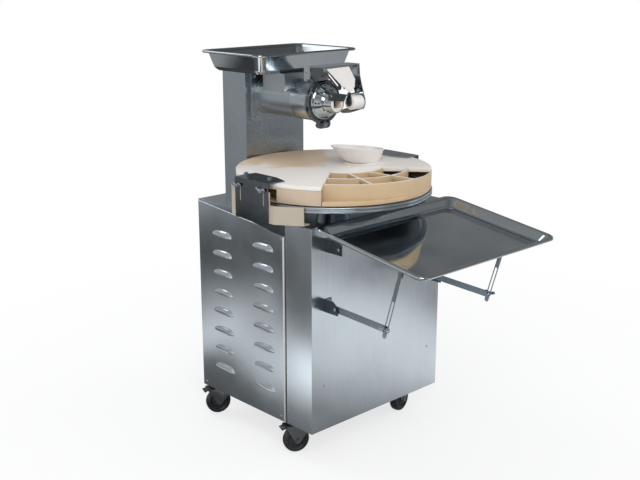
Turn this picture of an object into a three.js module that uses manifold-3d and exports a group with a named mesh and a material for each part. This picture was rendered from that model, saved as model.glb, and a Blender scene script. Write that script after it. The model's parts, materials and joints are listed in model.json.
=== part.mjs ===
// Dough divider and rounder on a castered stainless cabinet, in millimetres, +Z up.
// A hopper pan feeds a horizontal screw, a knife cuts the dough at the nozzle, and the
// pieces drop through a funnel onto a turntable that rolls them along a spiral track.
// The origin is under the middle of the machine, on the floor; the tray side faces -Y.
import * as THREE from 'three';
import { mergeVertices } from 'three/addons/utils/BufferGeometryUtils.js';
import Module from 'manifold-3d';

const wasm = await Module();
wasm.setup();

// Driving dimensions
const cabinetWidth = 570;
const cabinetDepth = 532;
const cabinetHeight = 640;
const casterHeight = 105;
const discRadius = 303;
const barrelRadius = 62;
const columnWidth = 252;
const columnDepth = 114;
const columnHeight = 397;
const panWidth = 431;
const panDepth = 298;
const panHeight = 62.5;
const trayWidth = 600;
const trayLength = 412;
const trayTiltDegrees = 8.3;

// Clearances and shared values
const seatGap = 0.3;
const runningGap = 0.35;
const cutOverrun = 2;
const sheet = 1.5;
const plate = 3;
const fineSides = 36;
const roundSides = 20;
const smallSides = 10;
const hexSides = 6;
const arcSteps = 8;
const smallSteps = 6;
const cornerSteps = 3;

// Places that several pieces share
const cabinetOffset = 19;
const cabinetLeft = cabinetOffset - cabinetWidth / 2;
const cabinetRight = cabinetOffset + cabinetWidth / 2;
const cabinetFront = -cabinetDepth / 2;
const cabinetBack = cabinetDepth / 2;
const deckTop = casterHeight + cabinetHeight;
const columnOffset = 29.7;
const columnStandIn = 41.7;
const columnFront = cabinetBack - columnStandIn;
const columnBack = columnFront + columnDepth;
const columnTop = deckTop + columnHeight;
const turntableProud = 3;
const turntableRadius = discRadius + turntableProud;
const turntableToColumn = 1.3;
const discCentreY = columnFront - turntableToColumn - turntableRadius;
const rootFlangeHalf = 81;
const rootFlangeDrop = 1;
const barrelHeight = columnTop - rootFlangeDrop - rootFlangeHalf;

const finishes = {
  brushedSteel: new THREE.MeshStandardMaterial({ color: 0xaeb4b9, roughness: 0.38, metalness: 1 }),
  polishedSteel: new THREE.MeshStandardMaterial({ color: 0x9aa0a6, roughness: 0.14, metalness: 1 }),
  satinSteel: new THREE.MeshStandardMaterial({ color: 0x7d868e, roughness: 0.5, metalness: 1 }),
  darkSteel: new THREE.MeshStandardMaterial({ color: 0x4a5158, roughness: 0.3, metalness: 1 }),
  castSteel: new THREE.MeshStandardMaterial({ color: 0x8c9298, roughness: 0.42, metalness: 1 }),
  creamNylon: new THREE.MeshStandardMaterial({ color: 0xdccdb8, roughness: 0.45, metalness: 0 }),
  whiteNylon: new THREE.MeshStandardMaterial({ color: 0xe9e4da, roughness: 0.4, metalness: 0 }),
  motorPaint: new THREE.MeshStandardMaterial({ color: 0x3f5a6e, roughness: 0.55, metalness: 0.2 }),
  blackRubber: new THREE.MeshStandardMaterial({ color: 0x1c1d1f, roughness: 0.8, metalness: 0 }),
  blackPlastic: new THREE.MeshStandardMaterial({ color: 0x17181a, roughness: 0.5, metalness: 0 }),
  zincSteel: new THREE.MeshStandardMaterial({ color: 0xa3a8ac, roughness: 0.35, metalness: 1 }),
};

// Solids from three.js geometry, turned outward if the surface came out inside out
const weldDistance = 0.0001;

function toSolid(geometry) {
  const bare = geometry.clone();
  bare.deleteAttribute('normal');
  bare.deleteAttribute('uv');
  const merged = mergeVertices(bare, weldDistance);
  const vertProperties = new Float32Array(merged.getAttribute('position').array);
  const triVerts = new Uint32Array(merged.index.array);
  if (signedVolume(vertProperties, triVerts) < 0) {
    for (let i = 0; i < triVerts.length; i += 3) {
      const swap = triVerts[i + 1];
      triVerts[i + 1] = triVerts[i + 2];
      triVerts[i + 2] = swap;
    }
  }
  return new wasm.Manifold(new wasm.Mesh({ numProp: 3, vertProperties, triVerts }));
}

function signedVolume(points, triangles) {
  const corner = (n) => new THREE.Vector3(points[3 * n], points[3 * n + 1], points[3 * n + 2]);
  let sum = 0;
  for (let i = 0; i < triangles.length; i += 3) {
    const a = corner(triangles[i]);
    const b = corner(triangles[i + 1]);
    const c = corner(triangles[i + 2]);
    sum += a.dot(b.cross(c)) / 6;
  }
  return sum;
}

function toGeometry(solid) {
  const mesh = solid.getMesh();
  const geometry = new THREE.BufferGeometry();
  geometry.setAttribute('position', new THREE.BufferAttribute(new Float32Array(mesh.vertProperties), 3));
  geometry.setIndex(new THREE.BufferAttribute(new Uint32Array(mesh.triVerts), 1));
  geometry.computeVertexNormals();
  return geometry;
}

function join(first, ...others) {
  return others.reduce((sum, next) => sum.add(next), first);
}

function cut(body, ...tools) {
  return tools.reduce((rest, tool) => rest.subtract(tool), body);
}

function addPiece(group, name, solid, finish) {
  const mesh = new THREE.Mesh(toGeometry(solid), finish.clone());
  mesh.name = name;
  group.add(mesh);
  return mesh;
}

// Boxes, prisms, rods and turned shapes along any of the three axes
const axisBases = {
  x: [new THREE.Vector3(0, 1, 0), new THREE.Vector3(0, 0, 1), new THREE.Vector3(1, 0, 0)],
  y: [new THREE.Vector3(1, 0, 0), new THREE.Vector3(0, 0, 1), new THREE.Vector3(0, -1, 0)],
  z: [new THREE.Vector3(1, 0, 0), new THREE.Vector3(0, 1, 0), new THREE.Vector3(0, 0, 1)],
};

function box(x0, x1, y0, y1, z0, z1) {
  const geometry = new THREE.BoxGeometry(x1 - x0, y1 - y0, z1 - z0);
  geometry.translate((x0 + x1) / 2, (y0 + y1) / 2, (z0 + z1) / 2);
  return toSolid(geometry);
}

// The outline lies in the plane across the axis: (y, z) for x, (x, z) for y, (x, y) for z.
function prism(outline, axis, from, to, curveSegments = smallSides) {
  const shape = Array.isArray(outline) ? polygon(outline) : outline;
  const options = { depth: to - from, bevelEnabled: false, curveSegments };
  const geometry = new THREE.ExtrudeGeometry(shape, options);
  const basis = new THREE.Matrix4().makeBasis(...axisBases[axis]);
  geometry.translate(0, 0, axis === 'y' ? -to : from);
  geometry.applyMatrix4(basis);
  return toSolid(geometry);
}

function rod(axis, radius, centre, from, to, sides = roundSides) {
  return prism(circle(radius, centre[0], centre[1], sides), axis, from, to, sides);
}

// The corner radius of a many-sided bore whose flats still clear a shaft of this radius
function boreRadius(shaftRadius, sides = smallSides) {
  return (shaftRadius + runningGap) / Math.cos(Math.PI / sides);
}

function turned(profile, sides = fineSides) {
  const points = profile.map(([radius, height]) => new THREE.Vector2(radius, height));
  const geometry = new THREE.LatheGeometry(points, sides);
  geometry.rotateX(Math.PI / 2);
  return toSolid(geometry);
}

function turnedAlongY(profile, sides = fineSides) {
  const points = profile.map(([radius, height]) => new THREE.Vector2(radius, height));
  return toSolid(new THREE.LatheGeometry(points, sides));
}

function turnedAlongX(profile, sides = fineSides) {
  const points = profile.map(([radius, height]) => new THREE.Vector2(radius, -height));
  const geometry = new THREE.LatheGeometry(points, sides);
  geometry.rotateZ(Math.PI / 2);
  return toSolid(geometry);
}

// Outlines
function polygon(points) {
  return new THREE.Shape(points.map(([x, y]) => new THREE.Vector2(x, y)));
}

function circle(radius, x = 0, y = 0, sides = roundSides) {
  const points = [];
  for (let i = 0; i < sides; i++) {
    const angle = (2 * Math.PI * i) / sides;
    points.push([x + radius * Math.cos(angle), y + radius * Math.sin(angle)]);
  }
  return polygon(points);
}

function arcPoints(radius, fromDegrees, toDegrees, steps, x = 0, y = 0) {
  const points = [];
  for (let i = 0; i <= steps; i++) {
    const angle = THREE.MathUtils.degToRad(fromDegrees + ((toDegrees - fromDegrees) * i) / steps);
    points.push([x + radius * Math.cos(angle), y + radius * Math.sin(angle)]);
  }
  return points;
}

function roundedRectangle(x0, x1, y0, y1, radius, steps = cornerSteps) {
  return [
    ...arcPoints(radius, 0, 90, steps, x1 - radius, y1 - radius),
    ...arcPoints(radius, 90, 180, steps, x0 + radius, y1 - radius),
    ...arcPoints(radius, 180, 270, steps, x0 + radius, y0 + radius),
    ...arcPoints(radius, 270, 360, steps, x1 - radius, y0 + radius),
  ];
}

// Points given as shares of a width and a height, counted from a corner
function scaled(shares, width, height, corner = [0, 0]) {
  return shares.map(([across, up]) => [corner[0] + across * width, corner[1] + up * height]);
}

// The outline that a belt round several circles takes, for lugs on a ring
function beltRound(circles, sides = roundSides) {
  const points = circles.flatMap(([x, y, radius]) => arcPoints(radius, 0, 360, sides, x, y));
  points.sort((a, b) => a[0] - b[0] || a[1] - b[1]);
  const turn = (o, a, b) => (a[0] - o[0]) * (b[1] - o[1]) - (a[1] - o[1]) * (b[0] - o[0]);
  const half = (list) => {
    const chain = [];
    for (const point of list) {
      while (chain.length > 1 && turn(chain.at(-2), chain.at(-1), point) <= weldDistance) {
        chain.pop();
      }
      chain.push(point);
    }
    return chain.slice(0, -1);
  };
  return [...half(points), ...half([...points].reverse())];
}

// A slot or bar with round ends between two points
function bar(fromPoint, toPoint, halfWidth, steps = smallSteps) {
  const angle = directionOf(fromPoint, toPoint);
  return [
    ...arcPoints(halfWidth, angle - 90, angle + 90, steps, toPoint[0], toPoint[1]),
    ...arcPoints(halfWidth, angle + 90, angle + 270, steps, fromPoint[0], fromPoint[1]),
  ];
}

function directionOf(fromPoint, toPoint) {
  const angle = Math.atan2(toPoint[1] - fromPoint[1], toPoint[0] - fromPoint[0]);
  return THREE.MathUtils.radToDeg(angle);
}

// The outline of a folded sheet: the points run along one face, the other lies to their left
function foldedSheet(points, thickness) {
  const inner = points.map((point, i) => {
    const before = points[Math.max(i - 1, 0)];
    const after = points[Math.min(i + 1, points.length - 1)];
    const forward = [after[0] - point[0], after[1] - point[1]];
    const incoming = unit(i === 0 ? forward : [point[0] - before[0], point[1] - before[1]]);
    const outgoing = i === points.length - 1 ? incoming : unit(forward);
    const normal = unit([-(incoming[1] + outgoing[1]), incoming[0] + outgoing[0]]);
    const reach = thickness / (normal[0] * -incoming[1] + normal[1] * incoming[0]);
    return [point[0] + normal[0] * reach, point[1] + normal[1] * reach];
  });
  return [...points, ...inner.reverse()];
}

function between(from, to, share) {
  return [from[0] + (to[0] - from[0]) * share, from[1] + (to[1] - from[1]) * share];
}

function unit([x, y]) {
  const length = Math.hypot(x, y);
  return [x / length, y / length];
}

// Rings of points for pressed and moulded shells
function roundedRing(x0, x1, y0, y1, radius, z) {
  return roundedRectangle(x0, x1, y0, y1, radius).map(([x, y]) => new THREE.Vector3(x, y, z));
}

function loft(rings, closed) {
  const count = rings[0].length;
  const points = rings.flat();
  const indices = [];
  const bands = closed ? rings.length : rings.length - 1;
  for (let ring = 0; ring < bands; ring++) {
    const base = ring * count;
    const next = ((ring + 1) % rings.length) * count;
    for (let i = 0; i < count; i++) {
      const j = (i + 1) % count;
      indices.push(base + i, base + j, next + j, base + i, next + j, next + i);
    }
  }
  if (!closed) {
    addCap(points, indices, rings[0], 0, true);
    addCap(points, indices, rings[rings.length - 1], (rings.length - 1) * count, false);
  }
  const geometry = new THREE.BufferGeometry();
  const coordinates = points.flatMap((p) => [p.x, p.y, p.z]);
  geometry.setAttribute('position', new THREE.Float32BufferAttribute(coordinates, 3));
  geometry.setIndex(indices);
  return toSolid(geometry);
}

function addCap(points, indices, ring, base, flipped) {
  const middle = ring.reduce((sum, p) => sum.add(p), new THREE.Vector3()).divideScalar(ring.length);
  const centre = points.push(middle) - 1;
  ring.forEach((_, i) => {
    const j = (i + 1) % ring.length;
    indices.push(centre, base + (flipped ? j : i), base + (flipped ? i : j));
  });
}

// Floor plate with the four caster pads under it, and a frame that stands round its edge
const panFlange = 25;
const casterPad = 70;
const casterPadThickness = 4;
const casterInsetLeft = 70;
const casterInsetRight = 40;
const casterInsetFront = 100;
const casterInsetRear = 40;
const kingPinRadius = 6;
const casterPlaces = {
  front_left: [cabinetLeft + casterInsetLeft, cabinetFront + casterInsetFront],
  front_right: [cabinetRight - casterInsetRight, cabinetFront + casterInsetFront],
  rear_left: [cabinetLeft + casterInsetLeft, cabinetBack - casterInsetRear],
  rear_right: [cabinetRight - casterInsetRight, cabinetBack - casterInsetRear],
};

function floorBlock(extra, from, to) {
  const inset = sheet + seatGap + extra;
  return box(
    cabinetLeft + inset, cabinetRight - inset, cabinetFront + inset, cabinetBack - inset, from, to);
}

function makeFloorFrame() {
  const foot = casterHeight + plate + seatGap;
  const top = casterHeight + panFlange;
  return cut(floorBlock(0, foot, top), floorBlock(plate, foot - cutOverrun, top + cutOverrun));
}

function makeFloorPan() {
  const bottom = casterHeight;
  const floor = floorBlock(0, bottom, bottom + plate);
  const pads = Object.values(casterPlaces).map(([x, y]) => {
    const half = casterPad / 2;
    return box(x - half, x + half, y - half, y + half, bottom - casterPadThickness, bottom + plate / 2);
  });
  const pinHoles = Object.values(casterPlaces).map(([x, y]) => {
    const from = bottom - casterPadThickness - cutOverrun;
    return rod('z', boreRadius(kingPinRadius), [x, y], from, bottom + plate + cutOverrun, smallSides);
  });
  return cut(join(floor, ...pads), ...pinHoles);
}

// Casters: a pressed fork that swivels on its king pin, a rubber wheel and a brake pedal
const wheelRadius = 42;
const wheelWidth = 28;
const wheelTrail = 36;
const hubRadius = 18;
const hubWidth = 32;
const axleRadius = 4;
const tyreShoulder = 5;
const wheelSides = 20;
const cheekThickness = 2.5;
const cheekGap = 1;
const forkCrownRadius = 24;
const forkCrownHeight = 7;
const forkCrownDepth = 10;
const forkFootDegrees = [200, 340];
const forkWing = 38;
const restSwivel = { left: 70, right: 100 };
const axleHeadRadius = 8;
const axleHeadHeight = 3.5;
const pedalWidth = 26;
const pedalReach = 44;
const pedalThickness = 6;
const pedalPivotRadius = 5;

function makeCasterFork() {
  const top = casterHeight - casterPadThickness - seatGap;
  const crown = rod('z', forkCrownRadius, [0, 0], top - forkCrownHeight, top);
  const pinFoot = top - forkCrownHeight / 2;
  const pin = rod('z', kingPinRadius, [0, 0], pinFoot, casterHeight + plate / 2, smallSides);
  const inner = hubWidth / 2 + cheekGap;
  const outer = inner + cheekThickness;
  const underside = top - forkCrownHeight;
  const yoke = box(
    -outer, outer, -forkCrownRadius / 2, wheelTrail,
    underside - cheekThickness, underside + cheekThickness / 2);
  const cheekFoot = axleHeadRadius + cheekThickness;
  const cheekOutline = [
    [-forkCrownRadius / 2, underside],
    [-forkCrownRadius / 2, underside - forkCrownDepth],
    ...arcPoints(cheekFoot, ...forkFootDegrees, smallSteps, wheelTrail, wheelRadius),
    [wheelTrail + forkWing, underside - forkCrownDepth / 2],
    [wheelTrail + forkWing, underside],
  ];
  const cheeks = [-outer, inner].map((x) => prism(cheekOutline, 'x', x, x + cheekThickness));
  const axle = rod('x', axleRadius, [wheelTrail, wheelRadius], -outer, outer, smallSides);
  const sink = cheekThickness / 2;
  const heads = [-outer - axleHeadHeight, outer].map((x) => rod(
    'x', axleHeadRadius, [wheelTrail, wheelRadius], x - sink, x + axleHeadHeight + sink, hexSides));
  return join(crown, pin, yoke, ...cheeks, axle, ...heads);
}

function makeCasterWheel() {
  const half = wheelWidth / 2;
  const hubHalf = hubWidth / 2;
  const bore = boreRadius(axleRadius, wheelSides);
  const web = half - tyreShoulder;
  return turnedAlongX([
    [bore, -hubHalf],
    [hubRadius - tyreShoulder, -hubHalf],
    [hubRadius, -web],
    [wheelRadius - 2 * tyreShoulder, -web],
    [wheelRadius - tyreShoulder, -half],
    [wheelRadius, -half + tyreShoulder],
    [wheelRadius, half - tyreShoulder],
    [wheelRadius - tyreShoulder, half],
    [wheelRadius - 2 * tyreShoulder, web],
    [hubRadius, web],
    [hubRadius - tyreShoulder, hubHalf],
    [bore, hubHalf],
    [bore, -hubHalf],
  ], wheelSides);
}

// The pedal is hung just behind the fork's yoke, over the tyre.
function makeCasterBrake() {
  const half = pedalWidth / 2;
  const barrel = rod('x', pedalPivotRadius, [0, 0], -half, half, smallSides);
  const tread = prism([
    [0, -pedalThickness / 2],
    [pedalReach / 2, -pedalThickness / 2],
    [pedalReach, -pedalThickness * 2],
    [pedalReach + pedalThickness / 2, -pedalThickness],
    [pedalReach / 2, pedalThickness / 2],
    [0, pedalThickness / 2],
  ], 'x', -half, half);
  return join(barrel, tread);
}

function addCasters(machine) {
  for (const [place, [x, y]] of Object.entries(casterPlaces)) {
    const caster = new THREE.Group();
    caster.position.set(x, y, 0);
    caster.rotation.z = THREE.MathUtils.degToRad(restSwivel[place.split('_')[1]]);
    machine.add(caster);
    addPiece(caster, `caster_fork_${place}`, makeCasterFork(), finishes.zincSteel);
    const wheel = addPiece(caster, `caster_wheel_${place}`, makeCasterWheel(), finishes.blackRubber);
    wheel.position.set(0, wheelTrail, wheelRadius);
    if (place.endsWith('left')) {
      const brake = addPiece(caster, `caster_brake_${place}`, makeCasterBrake(), finishes.blackPlastic);
      const yokeBottom = casterHeight - casterPadThickness - seatGap - forkCrownHeight;
      brake.position.set(0, wheelTrail + pedalPivotRadius + runningGap, yokeBottom);
    }
  }
}

// Cabinet panels in folded sheet
const panelTop = deckTop - 2 * sheet - seatGap;
const leftReturn = 114;
const rightReturn = 30;
const hemWidth = 9;
const hemProud = 2.5;
const louvreLength = 96;
const louvreProud = 9;
const louvreRise = 19;
const louvreTopDrop = 104;
const louvreBottomMargin = 40;
const louvrePitch = 64.3;
const louvreFirstInset = 118;
const louvreColumnPitch = 198;
const louvreSides = 8;
const louvreNoseShare = 0.3;
const panelRearDrop = 5;
const panelMiddleDrop = 29;
const panelFrontDrop = 46;
const panelStepBack = 86;
const driveShaftRadius = 12;
const driveShaftHeight = 330;
const shaftHoleMargin = 6;

function makeFrontPanel() {
  const outline = foldedSheet([
    [cabinetRight, cabinetFront + rightReturn],
    [cabinetRight, cabinetFront],
    [cabinetLeft, cabinetFront],
    [cabinetLeft, cabinetFront + leftReturn],
  ].reverse(), sheet);
  return prism(outline, 'z', casterHeight, panelTop);
}

// The top edge falls towards the front, where the deck's skirt shows above it.
function makeLouvrePanel() {
  const front = cabinetFront + leftReturn + seatGap;
  const back = cabinetBack;
  const outline = [
    [front, casterHeight],
    [back, casterHeight],
    [back, deckTop - panelRearDrop],
    [(front + back) / 2, deckTop - panelMiddleDrop],
    [front + panelStepBack, deckTop - (panelMiddleDrop + panelFrontDrop) / 2],
    [front + panelStepBack / 2, deckTop - panelFrontDrop],
    [front, deckTop - panelFrontDrop],
  ];
  let panel = prism(outline, 'x', cabinetLeft, cabinetLeft + sheet);
  const hem = prism([
    [cabinetLeft - hemProud, front],
    [cabinetLeft - hemProud, front + hemWidth - hemProud],
    [cabinetLeft + sheet / 2, front + hemWidth],
    [cabinetLeft + sheet / 2, front],
  ], 'z', casterHeight, deckTop - panelFrontDrop);
  panel = panel.add(hem);
  const louvreFront = front + hemWidth + louvreLength / 2;
  const louvreBottom = casterHeight + louvreBottomMargin;
  for (let y = back - louvreFirstInset; y > louvreFront; y -= louvreColumnPitch) {
    for (let z = deckTop - louvreTopDrop; z > louvreBottom; z -= louvrePitch) {
      panel = cut(panel.add(louvreDome(y, z, 0)), louvreDome(y, z, sheet));
    }
  }
  return panel;
}

// A quarter of an egg shape, closed above and open below, pressed out of the sheet: it
// swells slowly from the back and ends in a round nose at the front
function louvreDome(y, z, wall) {
  const geometry = new THREE.SphereGeometry(1, louvreSides, louvreSides / 2);
  geometry.rotateZ(Math.PI / 2);
  geometry.rotateX(Math.PI / 2);
  geometry.rotateY(Math.PI / 2);
  geometry.scale(louvreProud + sheet - wall, 1, louvreRise - wall);
  const nose = y - louvreLength / 2 + louvreLength * louvreNoseShare;
  const positions = geometry.getAttribute('position');
  for (let i = 0; i < positions.count; i++) {
    const along = positions.getY(i);
    const share = along < 0 ? louvreNoseShare : 1 - louvreNoseShare;
    positions.setY(i, along * (louvreLength * share - wall));
  }
  geometry.translate(cabinetLeft + sheet, nose, z);
  const half = louvreLength / 2 + cutOverrun;
  const floor = wall > 0 ? z - cutOverrun : z;
  const depth = wall > 0 ? cutOverrun : 0;
  const quarter = box(
    cabinetLeft - louvreProud - cutOverrun, cabinetLeft + sheet + depth,
    y - half, y + half, floor, z + louvreRise + cutOverrun);
  return toSolid(geometry).intersect(quarter);
}

function makeRightPanel() {
  const front = cabinetFront + rightReturn + seatGap;
  return box(cabinetRight - sheet, cabinetRight, front, cabinetBack, casterHeight, panelTop);
}

function makeRearPanel() {
  const x0 = cabinetLeft + sheet + seatGap;
  const x1 = cabinetRight - sheet - seatGap;
  const inside = cabinetBack - sheet;
  const holeRadius = driveShaftRadius + shaftHoleMargin;
  return cut(
    box(x0, x1, inside, cabinetBack, casterHeight, panelTop),
    rod('y', holeRadius, [0, driveShaftHeight], inside - cutOverrun, cabinetBack + cutOverrun),
  );
}

// Deck plate with its folded skirt
const deckSheet = 2 * sheet;
const skirtDepth = 52;
const turntableShaftRadius = 17.5;
const deckHoleMargin = 4;

function makeDeckPlate() {
  const inset = sheet + seatGap;
  const top = box(cabinetLeft, cabinetRight, cabinetFront, cabinetBack, deckTop - deckSheet, deckTop);
  const skirt = cut(
    box(cabinetLeft + inset, cabinetRight - inset, cabinetFront + inset, cabinetBack - inset - sheet,
      deckTop - skirtDepth, deckTop - deckSheet / 2),
    box(cabinetLeft + inset + sheet, cabinetRight - inset - sheet, cabinetFront + inset + sheet,
      cabinetBack - inset - 2 * sheet, deckTop - skirtDepth - cutOverrun, deckTop - deckSheet),
  );
  const hole = rod(
    'z', turntableShaftRadius + deckHoleMargin, [0, discCentreY],
    deckTop - deckSheet - cutOverrun, deckTop + cutOverrun);
  return cut(join(top, skirt), hole);
}

// Column: a box that stands on the deck and runs down behind the cabinet round the chain
const columnFoot = 240;
const columnWall = 3;
const columnLeft = columnOffset - columnWidth / 2;
const columnRight = columnOffset + columnWidth / 2;
const screwPassRadius = 30;
const rearCoverSheet = 2;

function makeColumnCasing() {
  const spineFront = cabinetBack + seatGap;
  const deckSeat = deckTop + seatGap;
  const outside = prism([
    [columnFront, deckSeat],
    [spineFront, deckSeat],
    [spineFront, columnFoot],
    [columnBack, columnFoot],
    [columnBack, columnTop],
    [columnFront, columnTop],
  ], 'x', columnLeft, columnRight);
  const inside = prism([
    [columnFront + columnWall, deckSeat + columnWall],
    [spineFront + columnWall, deckSeat + columnWall],
    [spineFront + columnWall, columnFoot + columnWall],
    [columnBack + cutOverrun, columnFoot + columnWall],
    [columnBack + cutOverrun, columnTop - columnWall],
    [columnFront + columnWall, columnTop - columnWall],
  ], 'x', columnLeft + columnWall, columnRight - columnWall);
  const screwHole = rod(
    'y', screwPassRadius, [0, barrelHeight],
    columnFront - cutOverrun, columnFront + columnWall + cutOverrun);
  const driveHole = rod(
    'y', driveShaftRadius + shaftHoleMargin, [0, driveShaftHeight],
    spineFront - cutOverrun, spineFront + columnWall + cutOverrun);
  return cut(outside, inside, screwHole, driveHole);
}

function makeRearCover() {
  const face = columnBack + seatGap;
  return box(columnLeft, columnRight, face, face + rearCoverSheet, columnFoot, columnTop);
}

// Roller-chain drive from the gearbox in the cabinet up to the feed screw
const chainPitch = 12.7;
const smallTeeth = 15;
const largeTeeth = 30;
const sprocketThickness = 7;
const toothDepth = 5;
const toothShares = [[1, -0.5], [0, -0.13], [0, 0.13]];
const chainSetback = 36;
const chainPlaneY = cabinetBack + chainSetback;
const chainThickness = 5;
const chainWidth = 11;
const chainGap = 0.6;
const hubLength = 14;
const sprocketHubRadius = 22;

function pitchRadius(teeth) {
  return chainPitch / (2 * Math.sin(Math.PI / teeth));
}

function sprocketOutline(teeth) {
  const tip = pitchRadius(teeth);
  const points = [];
  for (let tooth = 0; tooth < teeth; tooth++) {
    for (const [depthShare, turnShare] of toothShares) {
      const angle = (2 * Math.PI * (tooth + turnShare)) / teeth;
      const radius = tip - toothDepth * depthShare;
      points.push([radius * Math.cos(angle), radius * Math.sin(angle)]);
    }
  }
  return points;
}

function makeDriveSprocket() {
  const half = sprocketThickness / 2;
  const wheel = prism(sprocketOutline(smallTeeth), 'y', chainPlaneY - half, chainPlaneY + half);
  const shaftEnd = gearboxFront + gearboxWall + seatGap;
  const shaft = rod('y', driveShaftRadius, [0, 0], shaftEnd, chainPlaneY + hubLength, smallSides);
  const hub = rod('y', sprocketHubRadius, [0, 0], chainPlaneY, chainPlaneY + hubLength - half);
  return join(wheel, shaft, hub);
}

function makeScrewSprocket() {
  const half = sprocketThickness / 2;
  const wheel = prism(sprocketOutline(largeTeeth), 'y', chainPlaneY - half, chainPlaneY + half);
  const hub = rod('y', sprocketHubRadius, [0, 0], chainPlaneY, chainPlaneY + hubLength);
  const boreEnd = chainPlaneY + hubLength + cutOverrun;
  const bore = rod('y', screwShaftRadius + seatGap, [0, 0], chainPlaneY - hubLength, boreEnd);
  return cut(join(wheel, hub), bore);
}

// The chain runs as one closed band just outside the teeth of both sprockets.
function makeDriveChain() {
  const half = chainWidth / 2;
  const inner = chainLoop(chainGap);
  const outer = chainLoop(chainGap + chainThickness);
  return cut(
    prism(outer, 'y', chainPlaneY - half, chainPlaneY + half),
    prism(inner, 'y', chainPlaneY - half - cutOverrun, chainPlaneY + half + cutOverrun),
  );
}

function chainLoop(offset) {
  const low = pitchRadius(smallTeeth) + offset;
  const high = pitchRadius(largeTeeth) + offset;
  const lean = THREE.MathUtils.radToDeg(Math.asin((high - low) / (barrelHeight - driveShaftHeight)));
  return [
    ...arcPoints(high, -lean, 180 + lean, roundSides, 0, barrelHeight),
    ...arcPoints(low, 180 + lean, 360 - lean, arcSteps, 0, driveShaftHeight),
  ];
}

// Gear motors inside the cabinet
const gearboxWidth = 120;
const gearboxHeight = 130;
const gearboxDepth = 110;
const gearboxWall = 20;
const gearboxClearance = 28;
const gearboxBack = cabinetBack - sheet - gearboxClearance;
const gearboxFront = gearboxBack - gearboxDepth;
const gearboxFoot = 12;
const gearboxFootReach = 22;
const pedestalWidth = 90;
const motorRadius = 62;
const motorLength = 178;
const motorFlangeRadius = 72;
const motorFlangeThickness = 12;
const fanCowlLength = 34;
const fanCowlDrop = 5;
const coolingRibs = 14;
const ribDepth = 5;
const ribShares = [[1, -0.3], [0, -0.15], [0, 0.15], [1, 0.3]];

function makeFeedGearbox() {
  const half = gearboxWidth / 2;
  const bottom = driveShaftHeight - gearboxHeight / 2;
  const floor = casterHeight + plate + seatGap;
  const housing = box(-half, half, gearboxFront, gearboxBack, bottom, bottom + gearboxHeight);
  const pedestal = box(
    -pedestalWidth / 2, pedestalWidth / 2, gearboxFront, gearboxBack, floor, bottom + cutOverrun);
  const foot = box(-half, half, gearboxFront - gearboxFootReach, gearboxBack, floor, floor + gearboxFoot);
  const bore = rod(
    'y', boreRadius(driveShaftRadius), [0, driveShaftHeight],
    gearboxFront + gearboxWall, gearboxBack + cutOverrun, smallSides);
  return cut(join(housing, pedestal, foot), bore);
}

// A motor along +X, its flange face at x = 0
function makeMotor() {
  const outline = [];
  for (let rib = 0; rib < coolingRibs; rib++) {
    for (const [depthShare, turnShare] of ribShares) {
      const angle = (2 * Math.PI * (rib + turnShare)) / coolingRibs;
      const radius = motorRadius - ribDepth * depthShare;
      outline.push([radius * Math.cos(angle), radius * Math.sin(angle)]);
    }
  }
  const frame = prism(outline, 'x', motorFlangeThickness / 2, motorLength - fanCowlLength / 2);
  const flange = rod('x', motorFlangeRadius, [0, 0], 0, motorFlangeThickness, smallSides);
  const cowlStart = motorLength - fanCowlLength;
  const cowl = rod('x', motorRadius - fanCowlDrop / 2, [0, 0], cowlStart, motorLength, smallSides);
  return join(frame, flange, cowl);
}

const turnGearboxWidth = 116;
const turnGearboxDepth = 116;
const turnGearboxHeight = 112;
const turnGearboxFlange = 150;
const turnGearboxFlangeThickness = 10;
const turnMotorRise = 28;

function makeTurntableGearbox() {
  const top = deckTop - deckSheet - seatGap;
  const halfX = turnGearboxWidth / 2;
  const halfY = turnGearboxDepth / 2;
  const flangeHalf = turnGearboxFlange / 2;
  const bottom = top - turnGearboxHeight;
  const thickness = turnGearboxFlangeThickness;
  const flange = box(-flangeHalf, flangeHalf, -flangeHalf, flangeHalf, top - thickness, top);
  const housing = box(-halfX, halfX, -halfY, halfY, bottom, top - thickness / 2);
  const boreCorner = boreRadius(turntableShaftRadius, roundSides);
  const bore = rod('z', boreCorner, [0, 0], bottom - cutOverrun, top + cutOverrun);
  return cut(join(flange, housing), bore);
}

// Turntable, its shaft and the bearing on the deck
const turntableStand = 58.5;
const turntableTop = deckTop + turntableStand;
const turntableRim = 18.5;
const turntablePlate = 8;
const turntableHubRadius = 46;
const rimGroove = 2;
const bearingHeight = 12;
const bearingRadius = 62;
const bearingBossRadius = 36;
const bearingFlange = 6;
const collarHeight = 8;
const collarRadius = 40;
const shaftTail = 8;

const bearingTop = deckTop + seatGap + bearingHeight;
const collarTop = bearingTop + seatGap + collarHeight;

function makeTurntable() {
  const bottom = turntableTop - turntableRim;
  const middle = (bottom + turntableTop) / 2;
  const bore = turntableShaftRadius + seatGap;
  return turned([
    [bore, collarTop + seatGap],
    [turntableHubRadius, collarTop + seatGap],
    [turntableHubRadius + turntablePlate, turntableTop - turntablePlate],
    [turntableRadius - 3 * turntablePlate, turntableTop - turntablePlate],
    [turntableRadius - 2 * turntablePlate, bottom],
    [turntableRadius - rimGroove, bottom],
    [turntableRadius, bottom + rimGroove],
    [turntableRadius, middle - rimGroove],
    [turntableRadius - 2 * rimGroove, middle],
    [turntableRadius, middle + rimGroove],
    [turntableRadius, turntableTop - rimGroove],
    [turntableRadius - rimGroove, turntableTop],
    [bore, turntableTop],
    [bore, collarTop + seatGap],
  ]);
}

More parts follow.
